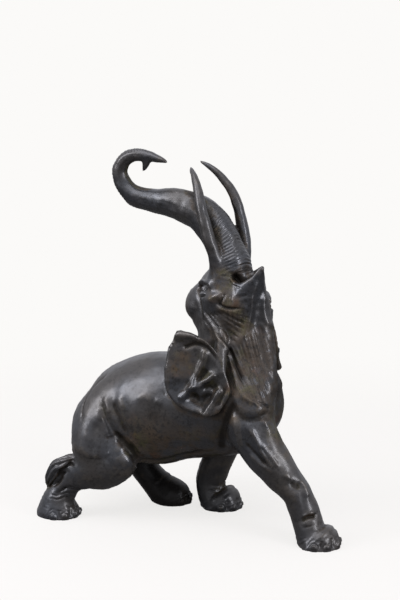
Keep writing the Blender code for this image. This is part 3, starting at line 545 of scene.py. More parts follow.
class Ear:
    """A thin folded sheet with a round rim, in its own plane: a towards the back of the figure, b upwards."""

    def __init__(self, centre, back, up, blend=5.0):
        self.blend = blend
        self.centre, self.back, self.up = centre, back, up
        self.out = np.cross(up, back) * (1.0 if centre[1] < 0.0 else -1.0)
        outline = smooth_rows(np.vstack((EAR_OUTLINE, EAR_OUTLINE[:1])), step=4.0)
        turn = np.arctan2(outline[:, 1], outline[:, 0])
        order = np.argsort(turn)
        self.turn = turn[order]
        self.radius = np.linalg.norm(outline, axis=1)[order]
        reach = self.radius.max() + EAR_THICKNESS + 3.0 * blend
        self.low, self.high = centre - reach, centre + reach

    def rim(self, turn):
        """How far the outline lies from the middle of the ear at each turn."""
        return np.interp(turn, self.turn, self.radius, period=2.0 * np.pi)

    def height(self, a, b):
        """How far the sheet's middle stands out of the ear's plane: a cup, a raised rim and the folds."""
        share = np.hypot(a, b) / self.rim(np.arctan2(b, a))
        lift = EAR_CUP * share**2
        for height, width, line in EAR_FOLDS:
            lift = lift + height * np.exp(-(distance_to_line(a, b, line) / width) ** 2)
        return lift

    def gap(self, points):
        """Distance out to the ear's surface, below zero inside the sheet."""
        offset = points - self.centre
        a, b, c = offset @ self.back, offset @ self.up, offset @ self.out
        beyond = np.maximum(np.hypot(a, b) - self.rim(np.arctan2(b, a)) + EAR_THICKNESS / 2.0, 0.0)
        return np.hypot(beyond, (c - self.height(a, b)) * 0.9) - EAR_THICKNESS / 2.0

    def add_to(self, bm):
        """Adds the ear as rings from the middle of its back, over the rim, to the middle of its face."""
        turn = np.arange(EAR_CORNERS) * 2.0 * np.pi / EAR_CORNERS
        inner = np.linspace(0.04, 1.0, EAR_RINGS)
        half = EAR_THICKNESS / 2.0
        shares = [(share, -1.0) for share in inner] + [(share, 1.0) for share in inner[::-1]]
        rings = []
        for share, face in shares:
            reach = (self.rim(turn) - (half if share < 1.0 else half * 0.3)) * share
            a, b = reach * np.cos(turn), reach * np.sin(turn)
            c = self.height(a, b) + face * half * (1.0 if share < 1.0 else 0.5)
            ring = self.centre + np.outer(a, self.back) + np.outer(b, self.up) + np.outer(c, self.out)
            rings.append([bm.verts.new(corner * MM) for corner in ring])
        join_rings(bm, rings)


def distance_to_line(a, b, line):
    """Distance in a plane from the points (a, b) to a line through the given corners."""
    nearest = np.full(np.shape(a), np.inf)
    for (a0, b0), (a1, b1) in zip(line, line[1:]):
        step = np.array((a1 - a0, b1 - b0), float)
        share = np.clip(((a - a0) * step[0] + (b - b0) * step[1]) / (step @ step), 0.0, 1.0)
        nearest = np.minimum(nearest, np.hypot(a - a0 - share * step[0], b - b0 - share * step[1]))
    return nearest


def across_head(vector):
    """A direction on the other side of the head's middle plane."""
    return vector - 2.0 * (vector @ HEAD_LEFT) * HEAD_LEFT


def masses():
    """Every mass of the figure by name, in the order in which they are blended."""
    head = dict(side=HEAD_LEFT)
    figure = {"torso": Mass(TORSO, blend=20.0), "neck": Mass(NECK, blend=26.0, **head)}
    figure["skull"] = Mass(SKULL, blend=24.0, **head)
    figure.update({name: Mass(rows, blend=16.0) for name, rows in LEGS.items()})
    figure["trunk"] = Mass(TRUNK, side=HEAD_LEFT, side_end=LEFT, blend=14.0)
    figure["jaw"] = Mass(JAW, blend=9.0, **head)
    figure["throat"] = Mass(THROAT, blend=12.0, **head)
    for name, rows, blend in (("dome", DOME, 10.0), ("tusk_sheath", TUSK_SHEATH, 8.0)):
        for side, placed in (("right", mirrored(rows)), ("left", rows)):
            figure[f"{side}_{name}"] = Mass(in_head(placed), blend=blend, **head)
    for side, placed in (("right", mirrored(TUSK + RIGHT_TIP)), ("left", TUSK + LEFT_TIP)):
        figure[f"{side}_tusk"] = Mass(in_head(placed), blend=4.0, **head)
    figure.update(tail=Mass(TAIL, blend=4.0), tuft=Mass(TAIL_TUFT, blend=4.0), spur=Mass(SPUR, blend=5.0))
    for side, rows in zip(("right", "left"), EAR_ROOTS):
        figure[f"{side}_ear_root"] = Mass(rows, side=UP, blend=10.0)
    figure["right_ear"] = Ear(RIGHT_EAR, EAR_BACK, RIGHT_EAR_UP)
    figure["left_ear"] = Ear(LEFT_EAR, across_head(EAR_BACK), LEFT_EAR_UP)
    return figure


def gap_to_form(points, figure):
    """Distance out to the smooth blend of the masses: a polynomial soft minimum over each mass's reach."""
    total = np.full(len(points), 1e3)
    for mass in figure.values():
        near = np.all((points > mass.low) & (points < mass.high), axis=1)
        if not near.any():
            continue
        here = mass.gap(points[near])
        held = total[near]
        overlap = np.maximum(mass.blend - np.abs(here - held), 0.0) / mass.blend
        total[near] = np.minimum(here, held) - overlap**2 * mass.blend / 4.0
    return total


@contextmanager
def edited(mesh):
    """The mesh opened for edits, which are written back at the end."""
    bm = bmesh.new()
    bm.from_mesh(mesh)
    yield bm
    bm.to_mesh(mesh)
    bm.free()


def evaluated(obj):
    """A new mesh of the object with its modifiers applied."""
    graph = bpy.context.evaluated_depsgraph_get()
    return bpy.data.meshes.new_from_object(obj.evaluated_get(graph))


def fused_mesh(figure, cell):
    """One closed skin round all the masses."""
    bm = bmesh.new()
    for mass in figure.values():
        mass.add_to(bm)
    bmesh.ops.recalc_face_normals(bm, faces=bm.faces)
    mesh = bpy.data.meshes.new("masses")
    bm.to_mesh(mesh)
    bm.free()
    obj = bpy.data.objects.new("masses", mesh)
    bpy.context.scene.collection.objects.link(obj)
    fuse = obj.modifiers.new("fuse", "REMESH")
    fuse.mode = "VOXEL"
    fuse.voxel_size = cell * MM
    skin = evaluated(obj)
    bpy.data.objects.remove(obj)
    drop_bubbles(skin)
    return skin


def drop_bubbles(mesh):
    """Keeps the outer skin, the largest island, and removes the closed bubbles left between the masses."""
    with edited(mesh) as bm:
        left = set(bm.verts)
        islands = []
        while left:
            island, edge = set(), {left.pop()}
            while edge:
                island |= edge
                edge = {link.other_vert(vert) for vert in edge for link in vert.link_edges} - island
            left -= island
            islands.append(island)
        islands.sort(key=len)
        bubbles = [vert for island in islands[:-1] for vert in island]
        bmesh.ops.delete(bm, geom=bubbles, context="VERTS")


def numbers_of(items, name, width, kind=np.float32):
    """One row of numbers for each item of a mesh, read under their name."""
    flat = np.empty(len(items) * width, kind)
    items.foreach_get(name, flat)
    return flat.reshape(-1, width)


def points_of(mesh):
    """The mesh's corners as table millimetres, one row each."""
    return numbers_of(mesh.vertices, "co", 3).astype(float) / MM


def move_points(mesh, points):
    """Puts the mesh's corners at the given table millimetres."""
    mesh.vertices.foreach_set("co", (points * MM).astype(np.float32).ravel())
    mesh.update()


def normals_of(mesh):
    """The unit normal at each corner."""
    return numbers_of(mesh.vertex_normals, "vector", 3).astype(float)


def edges_of(mesh):
    """The two corner numbers of each edge."""
    return numbers_of(mesh.edges, "vertices", 2, np.int32)


def neighbour_mean(points, edges):
    """The mean place of each corner's neighbours."""
    first, second = np.concatenate((edges, edges[:, ::-1])).T
    count = np.bincount(first, minlength=len(points))
    total = [np.bincount(first, weights=points[second, i], minlength=len(points)) for i in range(3)]
    return np.stack(total, axis=1) / count[:, None]


def settle(mesh, figure, rounds=3):
    """Evens out the skin and moves it along its normals onto the form, where that brings it nearer."""
    edges = edges_of(mesh)
    points = points_of(mesh)
    for _ in range(rounds):
        points += 0.5 * (neighbour_mean(points, edges) - points)
        move_points(mesh, points)
        gap = gap_to_form(points, figure)
        for _ in range(2):
            moved = points - np.clip(gap, -MOST_SHIFT, MOST_SHIFT)[:, None] * normals_of(mesh)
            gap_there = gap_to_form(moved, figure)
            nearer = np.abs(gap_there) < np.abs(gap)
            points[nearer], gap[nearer] = moved[nearer], gap_there[nearer]
            move_points(mesh, points)


def cut_bridges(mesh, figure, cell):
    """Takes out the stretched faces that span the air between two masses, and closes the rims they leave."""
    longest = BRIDGE_STRETCH * cell * MM
    with edited(mesh) as bm:
        long = [face for face in bm.faces if max(edge.calc_length() for edge in face.edges) > longest]
        middles = np.array([face.calc_center_median()[:] for face in long]) / MM
        off = np.abs(gap_to_form(middles, figure)) > BRIDGE_GAP
        bridges = [face for face, bridging in zip(long, off) if bridging]
        bmesh.ops.delete(bm, geom=bridges, context="FACES")
        filled = bmesh.ops.holes_fill(bm, edges=[edge for edge in bm.edges if edge.is_boundary])
        bmesh.ops.triangulate(bm, faces=filled["faces"])


def draw_tips(mesh, figure):
    """Draws the thin ends, cut short by the cells, out to full length by a shift that grows as t^2."""
    points = points_of(mesh)
    for mass in figure.values():
        if not isinstance(mass, Mass) or mass.half[-1].max() > THICKEST_TIP:
            continue
        row, share = mass.coordinates(points)
        walked = mass.read(mass.walked, row, share)
        start = mass.walked[-1] - TIP_LENGTH
        tip = (walked > start) & (mass.gap(points) < mass.blend)
        reached = walked[tip].max()
        rise = ((walked[tip] - start) / (reached - start)) ** 2
        ahead = mass.centre[-1] - mass.centre[-2]
        points[tip] += (mass.walked[-1] - reached) * rise[:, None] * ahead / np.linalg.norm(ahead)
    move_points(mesh, points)


def fan(count, starts, ends):
    """Straight lines from even places on one line to even places on another."""
    starts, ends = np.array(starts, float), np.array(ends, float)
    shares = [np.array((1.0 - share, share)) for share in np.linspace(0.0, 1.0, count)]
    return [np.vstack((share @ starts, share @ ends)) for share in shares]


def beside_foot(foot, turn, low, high):
    """An upright line on the side of a foot, at a turn round its middle."""
    x, y, radius = foot
    rim = np.array((x + radius * np.cos(turn), y + radius * np.sin(turn), 0.0))
    return rim + ((0.0, 0.0, low), (0.0, 0.0, high))


def on_sides(line, both=True):
    """The line, and its mirror image too where both sides have it."""
    return (line, mirrored(line)) if both else (line,)


def strokes():
    """Every carved line: how far it stands out, its width, and its corners in x, y and z."""
    head = list(HEAD_FOLDS)
    for height, width, count, starts, ends in HEAD_FANS:
        head += [(height, width, line) for line in fan(count, starts, ends)]
    lines = []
    for height, width, line in head:
        lines += [(height, width, in_head(side)) for side in on_sides(line)]
    for height, width, both, line in BODY_FOLDS:
        lines += [(height, width, np.array(side, float)) for side in on_sides(line, both)]
    for (*foot, toes), nails in zip(FEET, NAILS):
        for number in range(nails):
            turn = toes + (number - (nails - 1) / 2.0) * NAIL_SPREAD
            lines.append((3.0, NAIL_WIDTH, beside_foot(foot, turn, NAIL_WIDTH, NAIL_TOP)))
            lines.append((-2.5, 4.0, beside_foot(foot, turn + NAIL_SPREAD / 2.0, 3.0, TOE_TOP)))
    return lines


def carve(mesh, lines):
    """Lifts the skin beside each line laid on it by height x exp(-(away / width)^2), and gives each rise."""
    points, normals = points_of(mesh), normals_of(mesh)
    mesh.calc_loop_triangles()
    corners = numbers_of(mesh.loop_triangles, "vertices", 3, np.int32)
    skin = BVHTree.FromPolygons(points.tolist(), corners.tolist())
    rise = np.zeros(len(points))
    for height, width, line in lines:
        path = smooth_rows(line, step=3.0)
        path = np.array([skin.find_nearest(corner)[0] for corner in path.tolist()])
        low, high = path.min(axis=0) - 3.0 * width, path.max(axis=0) + 3.0 * width
        near = np.all((points > low) & (points < high), axis=1)
        if not near.any():
            continue
        here = points[near]
        distance = np.full(len(here), np.inf)
        place = np.zeros(len(here))
        for number, (start, end) in enumerate(zip(path, path[1:])):
            step = end - start
            share = np.clip((here - start) @ step / max(step @ step, 1e-9), 0.0, 1.0)
            away = np.linalg.norm(here - start - share[:, None] * step, axis=1)
            better = away < distance
            distance[better] = away[better]
            place[better] = (number + share[better]) / (len(path) - 1)
        taper = np.clip(6.0 * np.minimum(place, 1.0 - place) + 0.35, 0.0, 1.0)
        rise[near] += height * taper * np.exp(-((distance / width) ** 2))
    move_points(mesh, points + rise[:, None] * normals)
    return rise


def wave(points, length, seed):
    """Smooth unevenness about 0: the sum of nine sine waves of about one length in seeded directions."""
    rng = np.random.default_rng(seed)
    total = np.zeros(len(points))
    for _ in range(9):
        direction = rng.normal(size=3)
        direction *= rng.uniform(0.7, 1.3) / np.linalg.norm(direction)
        total += np.sin(points @ direction * 2.0 * np.pi / length + rng.uniform(0.0, 2.0 * np.pi))
    return total / 4.5


def soft_step(values, start, end):
    """0 up to start, 1 from end on, and a smooth rise between: 3 t^2 - 2 t^3."""
    t = np.clip((values - start) / (end - start), 0.0, 1.0)
    return t * t * (3.0 - 2.0 * t)


def on_mass(mass, points):
    """Each point's path length along a mass, its turn round it from the deep side, and its gap to it."""
    row, share = mass.coordinates(points)
    offset = points - mass.read(mass.centre, row, share)
    across = np.sum(offset * mass.read(mass.across, row, share), axis=1)
    deep = np.sum(offset * mass.read(mass.deep, row, share), axis=1)
    return mass.read(mass.walked, row, share), np.arctan2(across, deep), mass.gap(points)


def ring_bands(turn, walked):
    """How far a point of the trunk lies in its ringed bands: under its root, and along its outer curve."""
    under = 1.0 - soft_step(np.pi - np.abs(turn), 1.3, 1.55)
    under *= soft_step(walked, 40.0, 54.0) * (1.0 - soft_step(walked, 148.0, 176.0))
    over = 1.0 - soft_step(np.abs(turn), 0.85, 1.15)
    return under, over * soft_step(walked, 120.0, 150.0)


def trunk_relief(points, trunk, settings):
    """Rings across the trunk, rounded with narrow valleys, |sin|^0.6, and two ridges that run along it."""
    walked, turn, gap = on_mass(trunk, points)
    near = 1.0 - soft_step(np.abs(gap), 5.0, 11.0)
    end = 1.0 - soft_step(walked, trunk.walked[-1] - 60.0, trunk.walked[-1] - 20.0)
    under, over = ring_bands(turn, walked)
    sway = walked - 7.0 * np.abs(turn) * under + 1.6 * wave(points, 60.0, 3) + 0.5 * wave(points, 14.0, 4)
    ring = np.abs(np.sin(np.pi * sway / settings.ring_pitch)) ** 0.6 - 0.65
    uneven = 0.75 + 0.35 * wave(points, 30.0, 5)
    rise = ring * uneven * np.maximum(1.15 * under, 0.75 * over) * settings.ring_height
    rise += 1.0 * np.exp(-((np.abs(turn) - 1.2) / 0.10) ** 2) * soft_step(walked, 130.0, 160.0)
    rise += 0.8 * np.exp(-((np.abs(turn) - 1.9) / 0.08) ** 2) * soft_step(walked, 120.0, 160.0)
    return rise * near * end


def hair_relief(points, tuft):
    """Strands of the tail tuft: waves round it that wind slowly along it."""
    walked, turn, gap = on_mass(tuft, points)
    near = 1.0 - soft_step(np.abs(gap), 2.0, 6.0)
    strand = np.sin(9.0 * turn + walked / 16.0 + 1.3 * wave(points, 40.0, 8))
    fine = np.sin(23.0 * turn - walked / 11.0)
    return (1.5 * strand - 0.5 + 0.5 * fine) * near * soft_step(walked, 6.0, 18.0)


def nail_relief(points):
    """Nails: a raised plate with an arched top, a groove round it, and a skin fold over each toe."""
    rise = np.zeros(len(points))
    for (x, y, _, toes), nails in zip(FEET, NAILS):
        offset = points[:, :2] - (x, y)
        away = np.linalg.norm(offset, axis=1)
        near = (away < 60.0) & (away > 22.0) & (points[:, 2] < 40.0)
        turn = np.arctan2(offset[near, 1], offset[near, 0])
        high = points[near, 2]
        total = np.zeros(near.sum())
        for number in range(nails):
            middle = toes + (number - (nails - 1) / 2.0) * NAIL_SPREAD
            side = ((turn - middle + np.pi) % (2.0 * np.pi) - np.pi) * 40.0
            reach = np.sqrt((side / 8.0) ** 2 + ((high - 3.0) / 11.0) ** 2)
            total += 0.9 * (1.0 - soft_step(reach, 0.80, 0.98)) - 0.9 * np.exp(-(((reach - 1.1) / 0.14) ** 2))
            total -= 0.5 * np.exp(-(((reach - 1.62) / 0.14) ** 2)) * soft_step(high, 6.0, 10.0)
        rise[near] += total
    return rise


def limb_creases():
    """Skin creases part way round the ankles and wrists, as carved lines."""
    lines = []
    for name, turned, heights in LIMB_CREASES:
        rows = smooth_rows(LEGS[name])
        for number, (up, tilt, spread) in enumerate(heights):
            x, y = (np.interp(-up, -rows[:, 2], rows[:, axis]) for axis in (0, 1))
            turn = turned + np.linspace(-spread, spread, 7)
            lift = up + tilt * np.sin(turn - turned) + 1.5 * np.cos(5.0 * (turn + number))
            line = (x + LIMB_REACH * np.cos(turn), y + LIMB_REACH * np.sin(turn), lift)
            lines.append((*LIMB_CREASE, np.stack(line, axis=1)))
    return lines


def fine_strokes():
    """The narrow folds that only the full relief shows."""
    lines = limb_creases()
    for height, width, count, both, starts, ends in FINE_FANS:
        for line in fan(count, starts, ends):
            lines += [(height, width, in_head(side)) for side in on_sides(line, both)]
    for height, width, line in FINE_LINES:
        lines += [(height, width, in_head(side)) for side in on_sides(line)]
    for height, width, line in FINE_FOLDS:
        lines.append((height, width, np.array(line, float)))
    return lines


def near_lines(lines, points, reach):
    """Which points lie within reach of any carved line."""
    near = np.zeros(len(points), bool)
    for _, _, line in lines:
        for corner in smooth_rows(line, step=6.0):
            box = np.all(np.abs(points - corner) < reach, axis=1)
            near |= box
    return near


def refine(mesh, wanted, figure, lines):
    """Cuts every face in two both ways where the wanted function of its middle says so."""
    middles = numbers_of(mesh.polygons, "center", 3).astype(float) / MM
    chosen = np.flatnonzero(wanted(middles, figure, lines))
    with edited(mesh) as bm:
        bm.faces.ensure_lookup_table()
        edges = {edge for number in chosen for edge in bm.faces[number].edges}
        bmesh.ops.subdivide_edges(bm, edges=list(edges), cuts=1, use_grid_fill=True)


def store(mesh, name, values):
    """Keeps one number for each corner of the mesh under a name that materials read."""
    attribute = mesh.attributes.new(name, "FLOAT", "POINT")
    attribute.data.foreach_set("value", values.astype(np.float32))


def hollows(mesh, figure, reach):
    """How enclosed each corner is: 1 less the free way out along its normal as a share of reach."""
    points, normals = points_of(mesh), normals_of(mesh)
    return np.clip(1.0 - gap_to_form(points + reach * normals, figure) / reach, 0.0, 1.0)


def bends(mesh, rounds):
    """How far the skin bends inwards (above zero) or outwards: its evened place, along the normal."""
    edges, normals = edges_of(mesh), normals_of(mesh)
    points = points_of(mesh)
    smooth = points
    for _ in range(rounds):
        smooth = neighbour_mean(smooth, edges)
    return np.sum((smooth - points) * normals, axis=1)


def fit_to_node(mesh):
    """Stretches the mesh by the little it needs to fill the node's box exactly, in metres."""
    points = points_of(mesh) * MM
    low, high = points.min(axis=0), points.max(axis=0)
    points = NODE_LOW + (points - low) * (NODE_HIGH - NODE_LOW) / (high - low)
    mesh.vertices.foreach_set("co", points.astype(np.float32).ravel())
    mesh.update()


def detailed(points, figure, lines):
    """Where the skin is refined once: head, chest, feet, trunk, tusks, tuft, ears and beside broad lines."""
    x, z = points[:, 0], points[:, 2]
    head = (z > HEAD_LOW) & (z < HEAD_HIGH) & (x > HEAD_BACK)
    chest = (z > CHEST_LOW) & (x > CHEST_BACK)
    feet = z < FOOT_TOP
    slim = (z > HEAD_HIGH) | (figure["tuft"].gap(points) < NEAR)
    ears = np.minimum(figure["right_ear"].gap(points), figure["left_ear"].gap(points)) < NEAR
    narrow = [line for line in lines if line[1] < 7.0]
    return head | chest | feet | slim | ears | near_lines(narrow, points, 8.0)


def finest(points, figure, lines):
    """Where the skin is refined again: trunk rings, the tuft's hair, the nails and beside fine lines."""
    trunk = figure["trunk"]
    walked, turn, gap = on_mass(trunk, points)
    ringed = (np.maximum(*ring_bands(turn, walked)) > 0.02) & (np.abs(gap) < 11.0)
    ringed &= walked < trunk.walked[-1] - 20.0
    hair = figure["tuft"].gap(points) < 6.0
    nails = (points[:, 2] < 24.0) & (nail_relief(points) != 0.0)
    return ringed | hair | nails | near_lines(lines, points, 4.0)


def tinted(points, figure):
    """Painted shadow low on the left legs, and where the patina is earthy, low on the body and in patches."""
    low = 1.0 - soft_step(points[:, 2], *LOW_BODY)
    hind, fore, torso = (figure[name].gap(points) for name in ("left_hind", "left_fore", "torso"))
    # Painted shadow on the far legs: the low part of the left hind leg in full, the left fore leg at half.
    soot = (1.0 - soft_step(hind, 2.0, 12.0)) * low
    soot = np.maximum(soot, 0.5 * (1.0 - soft_step(fore, 2.0, 12.0)) * low)
    earth = (1.0 - soft_step(torso, 3.0, 14.0)) * low
    for *place, radius in EARTHY:
        away = np.linalg.norm(points - place, axis=1) / radius
        earth = np.maximum(earth, 1.0 - soft_step(away, 0.5, 1.2))
    return soot, earth


def elephant_mesh(settings):
    """The whole casting: fused masses, refined and settled, then carved, ringed and cut flat at the soles."""
    figure = masses()
    broad, fine = strokes(), fine_strokes()
    skin = fused_mesh(figure, settings.cell)
    settle(skin, figure)
    cut_bridges(skin, figure, settings.cell)
    draw_tips(skin, figure)
    for wanted, lines in ((detailed, broad), (finest, fine)):
        refine(skin, wanted, figure, lines)
        settle(skin, figure, rounds=2)
    rise = carve(skin, broad + fine)
    store(skin, "carved", np.clip(-rise / DEEPEST, -1.0, 1.0))
    # The painted shadow of the left legs and the earthy patina, kept for the material.
    for name, values in zip(("soot", "earth"), tinted(points_of(skin), figure)):
        store(skin, name, values)
    points, normals = points_of(skin), normals_of(skin)
    rise = trunk_relief(points, figure["trunk"], settings) + hair_relief(points, figure["tuft"])
    rise += nail_relief(points)
    rise += settings.unevenness * (0.6 * wave(points, 46.0, 1) + 0.4 * wave(points, 19.0, 2))
    move_points(skin, points + rise[:, None] * normals)
    store(skin, "hollow", hollows(skin, figure, HOLLOW_REACH))
    store(skin, "bend", bends(skin, 3))
    cut_soles(skin)
    fit_to_node(skin)
    return skin


def cut_soles(mesh):
    """Cuts the feet off flat at the floor and closes each sole with one flat face."""
    with edited(mesh) as bm:
        everything = bm.verts[:] + bm.edges[:] + bm.faces[:]
        cut = bmesh.ops.bisect_plane(
            bm, geom=everything, dist=1e-6, plane_co=(0, 0, 0), plane_no=(0, 0, -1), clear_outer=True
        )
        rims = [item for item in cut["geom_cut"] if isinstance(item, bmesh.types.BMEdge)]
        bmesh.ops.holes_fill(bm, edges=rims)


class Nodes:
    """Adds and links shader nodes in few words."""

    def __init__(self, tree):
        self.tree = tree

    def add(self, kind, **sockets):
        """A node of a kind, with its sockets set to values or linked to other nodes' outputs."""
        node = self.tree.nodes.new(kind)
        for name, value in sockets.items():
            self.put(node, name.replace("_", " "), value)
        return node

    def put(self, node, name, value):
        """Sets one input, by its name or number, to a value or to another node's output."""
        socket = node.inputs[int(name)] if name.isdigit() else node.inputs[name]
        if isinstance(value, bpy.types.NodeSocket):
            self.tree.links.new(value, socket)
        else:
            socket.default_value = value

    def math(self, operation, first, second):
        """One step of arithmetic."""
        node = self.tree.nodes.new("ShaderNodeMath")
        node.operation = operation
        for number, value in enumerate((first, second)):
            self.put(node, str(number), value)
        return node.outputs[0]

    def times(self, first, second):
        """The product of two values."""
        return self.math("MULTIPLY", first, second)

    def plus(self, first, second):
        """The sum of two values."""
        return self.math("ADD", first, second)

    def most(self, first, second):
        """The larger of two values."""
        return self.math("MAXIMUM", first, second)

    def ramp(self, value, low, high, start=0.0, end=1.0):
        """A value carried smoothly from low..high to start..end, and held there."""
        node = self.tree.nodes.new("ShaderNodeMapRange")
        node.interpolation_type = "SMOOTHSTEP"
        names = ("Value", "From Min", "From Max", "To Min", "To Max")
        for name, number in zip(names, (value, low, high, start, end)):
            self.put(node, name, number)
        return node.outputs["Result"]

    def noise(self, where, scale, detail=4.0, roughness=0.55):
        """Fractal noise, about 0.5 in the mean."""
        node = self.add("ShaderNodeTexNoise", Vector=where, Scale=scale, Detail=detail, Roughness=roughness)
        return node.outputs["Fac"]

    def attribute(self, name):
        """The mesh's own number of that name."""
        node = self.tree.nodes.new("ShaderNodeAttribute")
        node.attribute_name = name
        return node.outputs["Fac"]

    def mix(self, share, first, second):
        """One colour turning into another."""
        node = self.tree.nodes.new("ShaderNodeMix")
        node.data_type = "RGBA"
        for number, value in ((0, share), (6, first), (7, second)):
            self.put(node, str(number), value)
        return node.outputs[2]


def rgba(colour):
    """A colour with full alpha."""
    return (*colour[:3], 1.0)


def new_material(name):
    """A new material, the adder of its nodes, its shader and the place of each point on the piece."""
    material = bpy.data.materials.new(name)
    material.use_nodes = True
    nodes = Nodes(material.node_tree)
    where = nodes.add("ShaderNodeTexCoord").outputs["Object"]
    return material, nodes, material.node_tree.nodes["Principled BSDF"], where


def patina(settings):
    """Very dark waxed patina: brown, olive and rust in the hollows, bare bronze on worn rims, and painted
    shade.
    """
    material, nodes, shader, where = new_material("bronze_patina")
    hollow, bend, carved = (nodes.attribute(name) for name in ("hollow", "bend", "carved"))
    # The painted shadow of the left legs, and the earthy patina.
    soot, earth = nodes.attribute("soot"), nodes.attribute("earth")
    cloud = nodes.noise(where, 9.0)
    blotch = nodes.noise(where, 38.0, 6.0, 0.65)
    speckle = nodes.noise(where, 150.0, 4.0, 0.7)
    grit = nodes.noise(where, 420.0, 3.0, 0.6)
    # Painted shade in creases, carved lines and enclosed hollows; it also deepens the brown patina there.
    cavity = nodes.most(nodes.ramp(bend, 0.15, 1.0), nodes.ramp(carved, 0.2, 0.9))
    cavity = nodes.most(cavity, nodes.ramp(hollow, 0.35, 0.8))
    deep = nodes.plus(nodes.ramp(hollow, 0.05, 0.55), nodes.times(cavity, 0.7))
    earth = nodes.times(earth, nodes.ramp(nodes.noise(where, 22.0, 5.0, 0.65), 0.36, 0.56))
    deep = nodes.plus(deep, earth)
    dirt = nodes.ramp(nodes.times(deep, nodes.ramp(blotch, 0.36, 0.60)), 0.0, 1.0)
    colour = nodes.mix(nodes.ramp(cloud, 0.35, 0.65), rgba(settings.dark), rgba(settings.dark_warm))
    colour = nodes.mix(nodes.times(dirt, 0.85), colour, rgba(settings.brown))
    colour = nodes.mix(nodes.times(earth, 0.75), colour, rgba(settings.umber))
    olive = nodes.times(dirt, nodes.ramp(nodes.noise(where, 16.0), 0.48, 0.60))
    colour = nodes.mix(nodes.times(olive, 0.7), colour, rgba(settings.olive))
    spots = nodes.ramp(nodes.noise(where, 27.0), 0.57, 0.68)
    rust = nodes.times(nodes.most(nodes.ramp(hollow, 0.2, 0.6), earth), spots)
    colour = nodes.mix(nodes.times(rust, 0.22), colour, rgba(settings.rust))
    # Painted shade and painted shadow: creases, carved lines, hollows and the low left legs darkened almost
    # to the darkest colour.
    painted_shade = nodes.most(nodes.times(cavity, 0.8), nodes.times(soot, 0.92))
    colour = nodes.mix(painted_shade, colour, rgba(settings.soot))
    grain = nodes.times(nodes.ramp(speckle, 0.52, 0.38), nodes.ramp(blotch, 0.35, 0.65, 0.2, 0.75))
    colour = nodes.mix(grain, colour, rgba(settings.soot))
    worn = nodes.times(nodes.ramp(bend, -0.45, -1.1), nodes.ramp(blotch, 0.38, 0.55))
    colour = nodes.mix(nodes.times(worn, settings.wear), colour, rgba(settings.bare))
    nodes.put(shader, "Base Color", colour)
    # Where shade is painted, and on the earthy patina, metal and specular are turned down; the wax too, with
    # the brown patina.
    dull = nodes.most(painted_shade, nodes.times(earth, 0.6))
    nodes.put(shader, "Metallic", nodes.ramp(dull, 0.0, 1.0, settings.metallic, 0.05))
    nodes.put(shader, "Specular IOR Level", nodes.ramp(dull, 0.0, 1.0, 0.5, 0.12))
    rough = nodes.plus(nodes.ramp(cloud, 0.3, 0.7, -0.05, 0.07), nodes.ramp(blotch, 0.3, 0.7, -0.06, 0.08))
    rough = nodes.plus(rough, nodes.times(dirt, 0.18))
    nodes.put(shader, "Roughness", nodes.plus(rough, settings.roughness))
    nodes.put(shader, "Coat Weight", nodes.ramp(nodes.most(painted_shade, dirt), 0.0, 1.0, settings.wax, 0.03))
    nodes.put(shader, "Coat Roughness", COAT_ROUGHNESS)
    height = nodes.plus(nodes.times(grit, 0.3), nodes.noise(where, 130.0, 5.0, 0.6))
    height = nodes.plus(height, nodes.times(nodes.noise(where, 45.0, 3.0, 0.5), 2.2))
    bump = nodes.add("ShaderNodeBump", Height=height, Strength=0.35, Distance=BUMP_DEPTH)
    nodes.put(shader, "Normal", bump.outputs["Normal"])
    return material


def floor_mesh(settings):
    """A round floor: rings about the figure, x = r cos t and y = r sin t, closer together near the middle."""
    turn = np.linspace(0.0, 2.0 * np.pi, 97)[:-1]
    radius = settings.floor_radius * np.linspace(0.0, 1.0, 40)[1:] ** 1.6
    x, y = np.outer(radius, np.cos(turn)), np.outer(radius, np.sin(turn))
    rings = np.stack((x, y, np.zeros_like(x)), axis=2).reshape(-1, 3)
    points = np.vstack(((0.0, 0.0, 0.0), rings))
    points[:, 2] = NODE_LOW[2]
    around, count = len(turn), len(radius)
    start = 1 + np.arange(count - 1)[:, None] * around + np.arange(around)
    following = 1 + np.arange(count - 1)[:, None] * around + (np.arange(around) + 1) % around
    quads = np.stack((start, start + around, following + around, following), axis=2).reshape(-1, 4)
    fan_faces = [(0, 1 + i, 1 + (i + 1) % around) for i in range(around)]
    mesh = bpy.data.meshes.new("floor")
    mesh.from_pydata(points.tolist(), [], fan_faces + quads.tolist())
    return mesh


def floor_material(settings):
    """Matt paper that fades out into the background far from the figure."""
    material, nodes, shader, where = new_material("paper")
    away = nodes.tree.nodes.new("ShaderNodeVectorMath")
    away.operation = "LENGTH"
    nodes.put(away, "0", where)
    grain = nodes.ramp(nodes.noise(where, 160.0), 0.3, 0.7, 0.995, 1.0)
    fibre = rgba([0.98 * part for part in settings.floor_colour])
    tint = nodes.mix(grain, fibre, rgba(settings.floor_colour))
    nodes.put(shader, "Base Color", tint)
    nodes.put(shader, "Roughness", 0.9)
    nodes.put(shader, "Specular IOR Level", 0.1)
    start, end = 0.3 * settings.floor_radius, 0.95 * settings.floor_radius
    fade = nodes.ramp(away.outputs["Value"], start, end, 1.0, 0.0)
    nodes.put(shader, "Alpha", nodes.times(fade, settings.floor_weight))
    return material


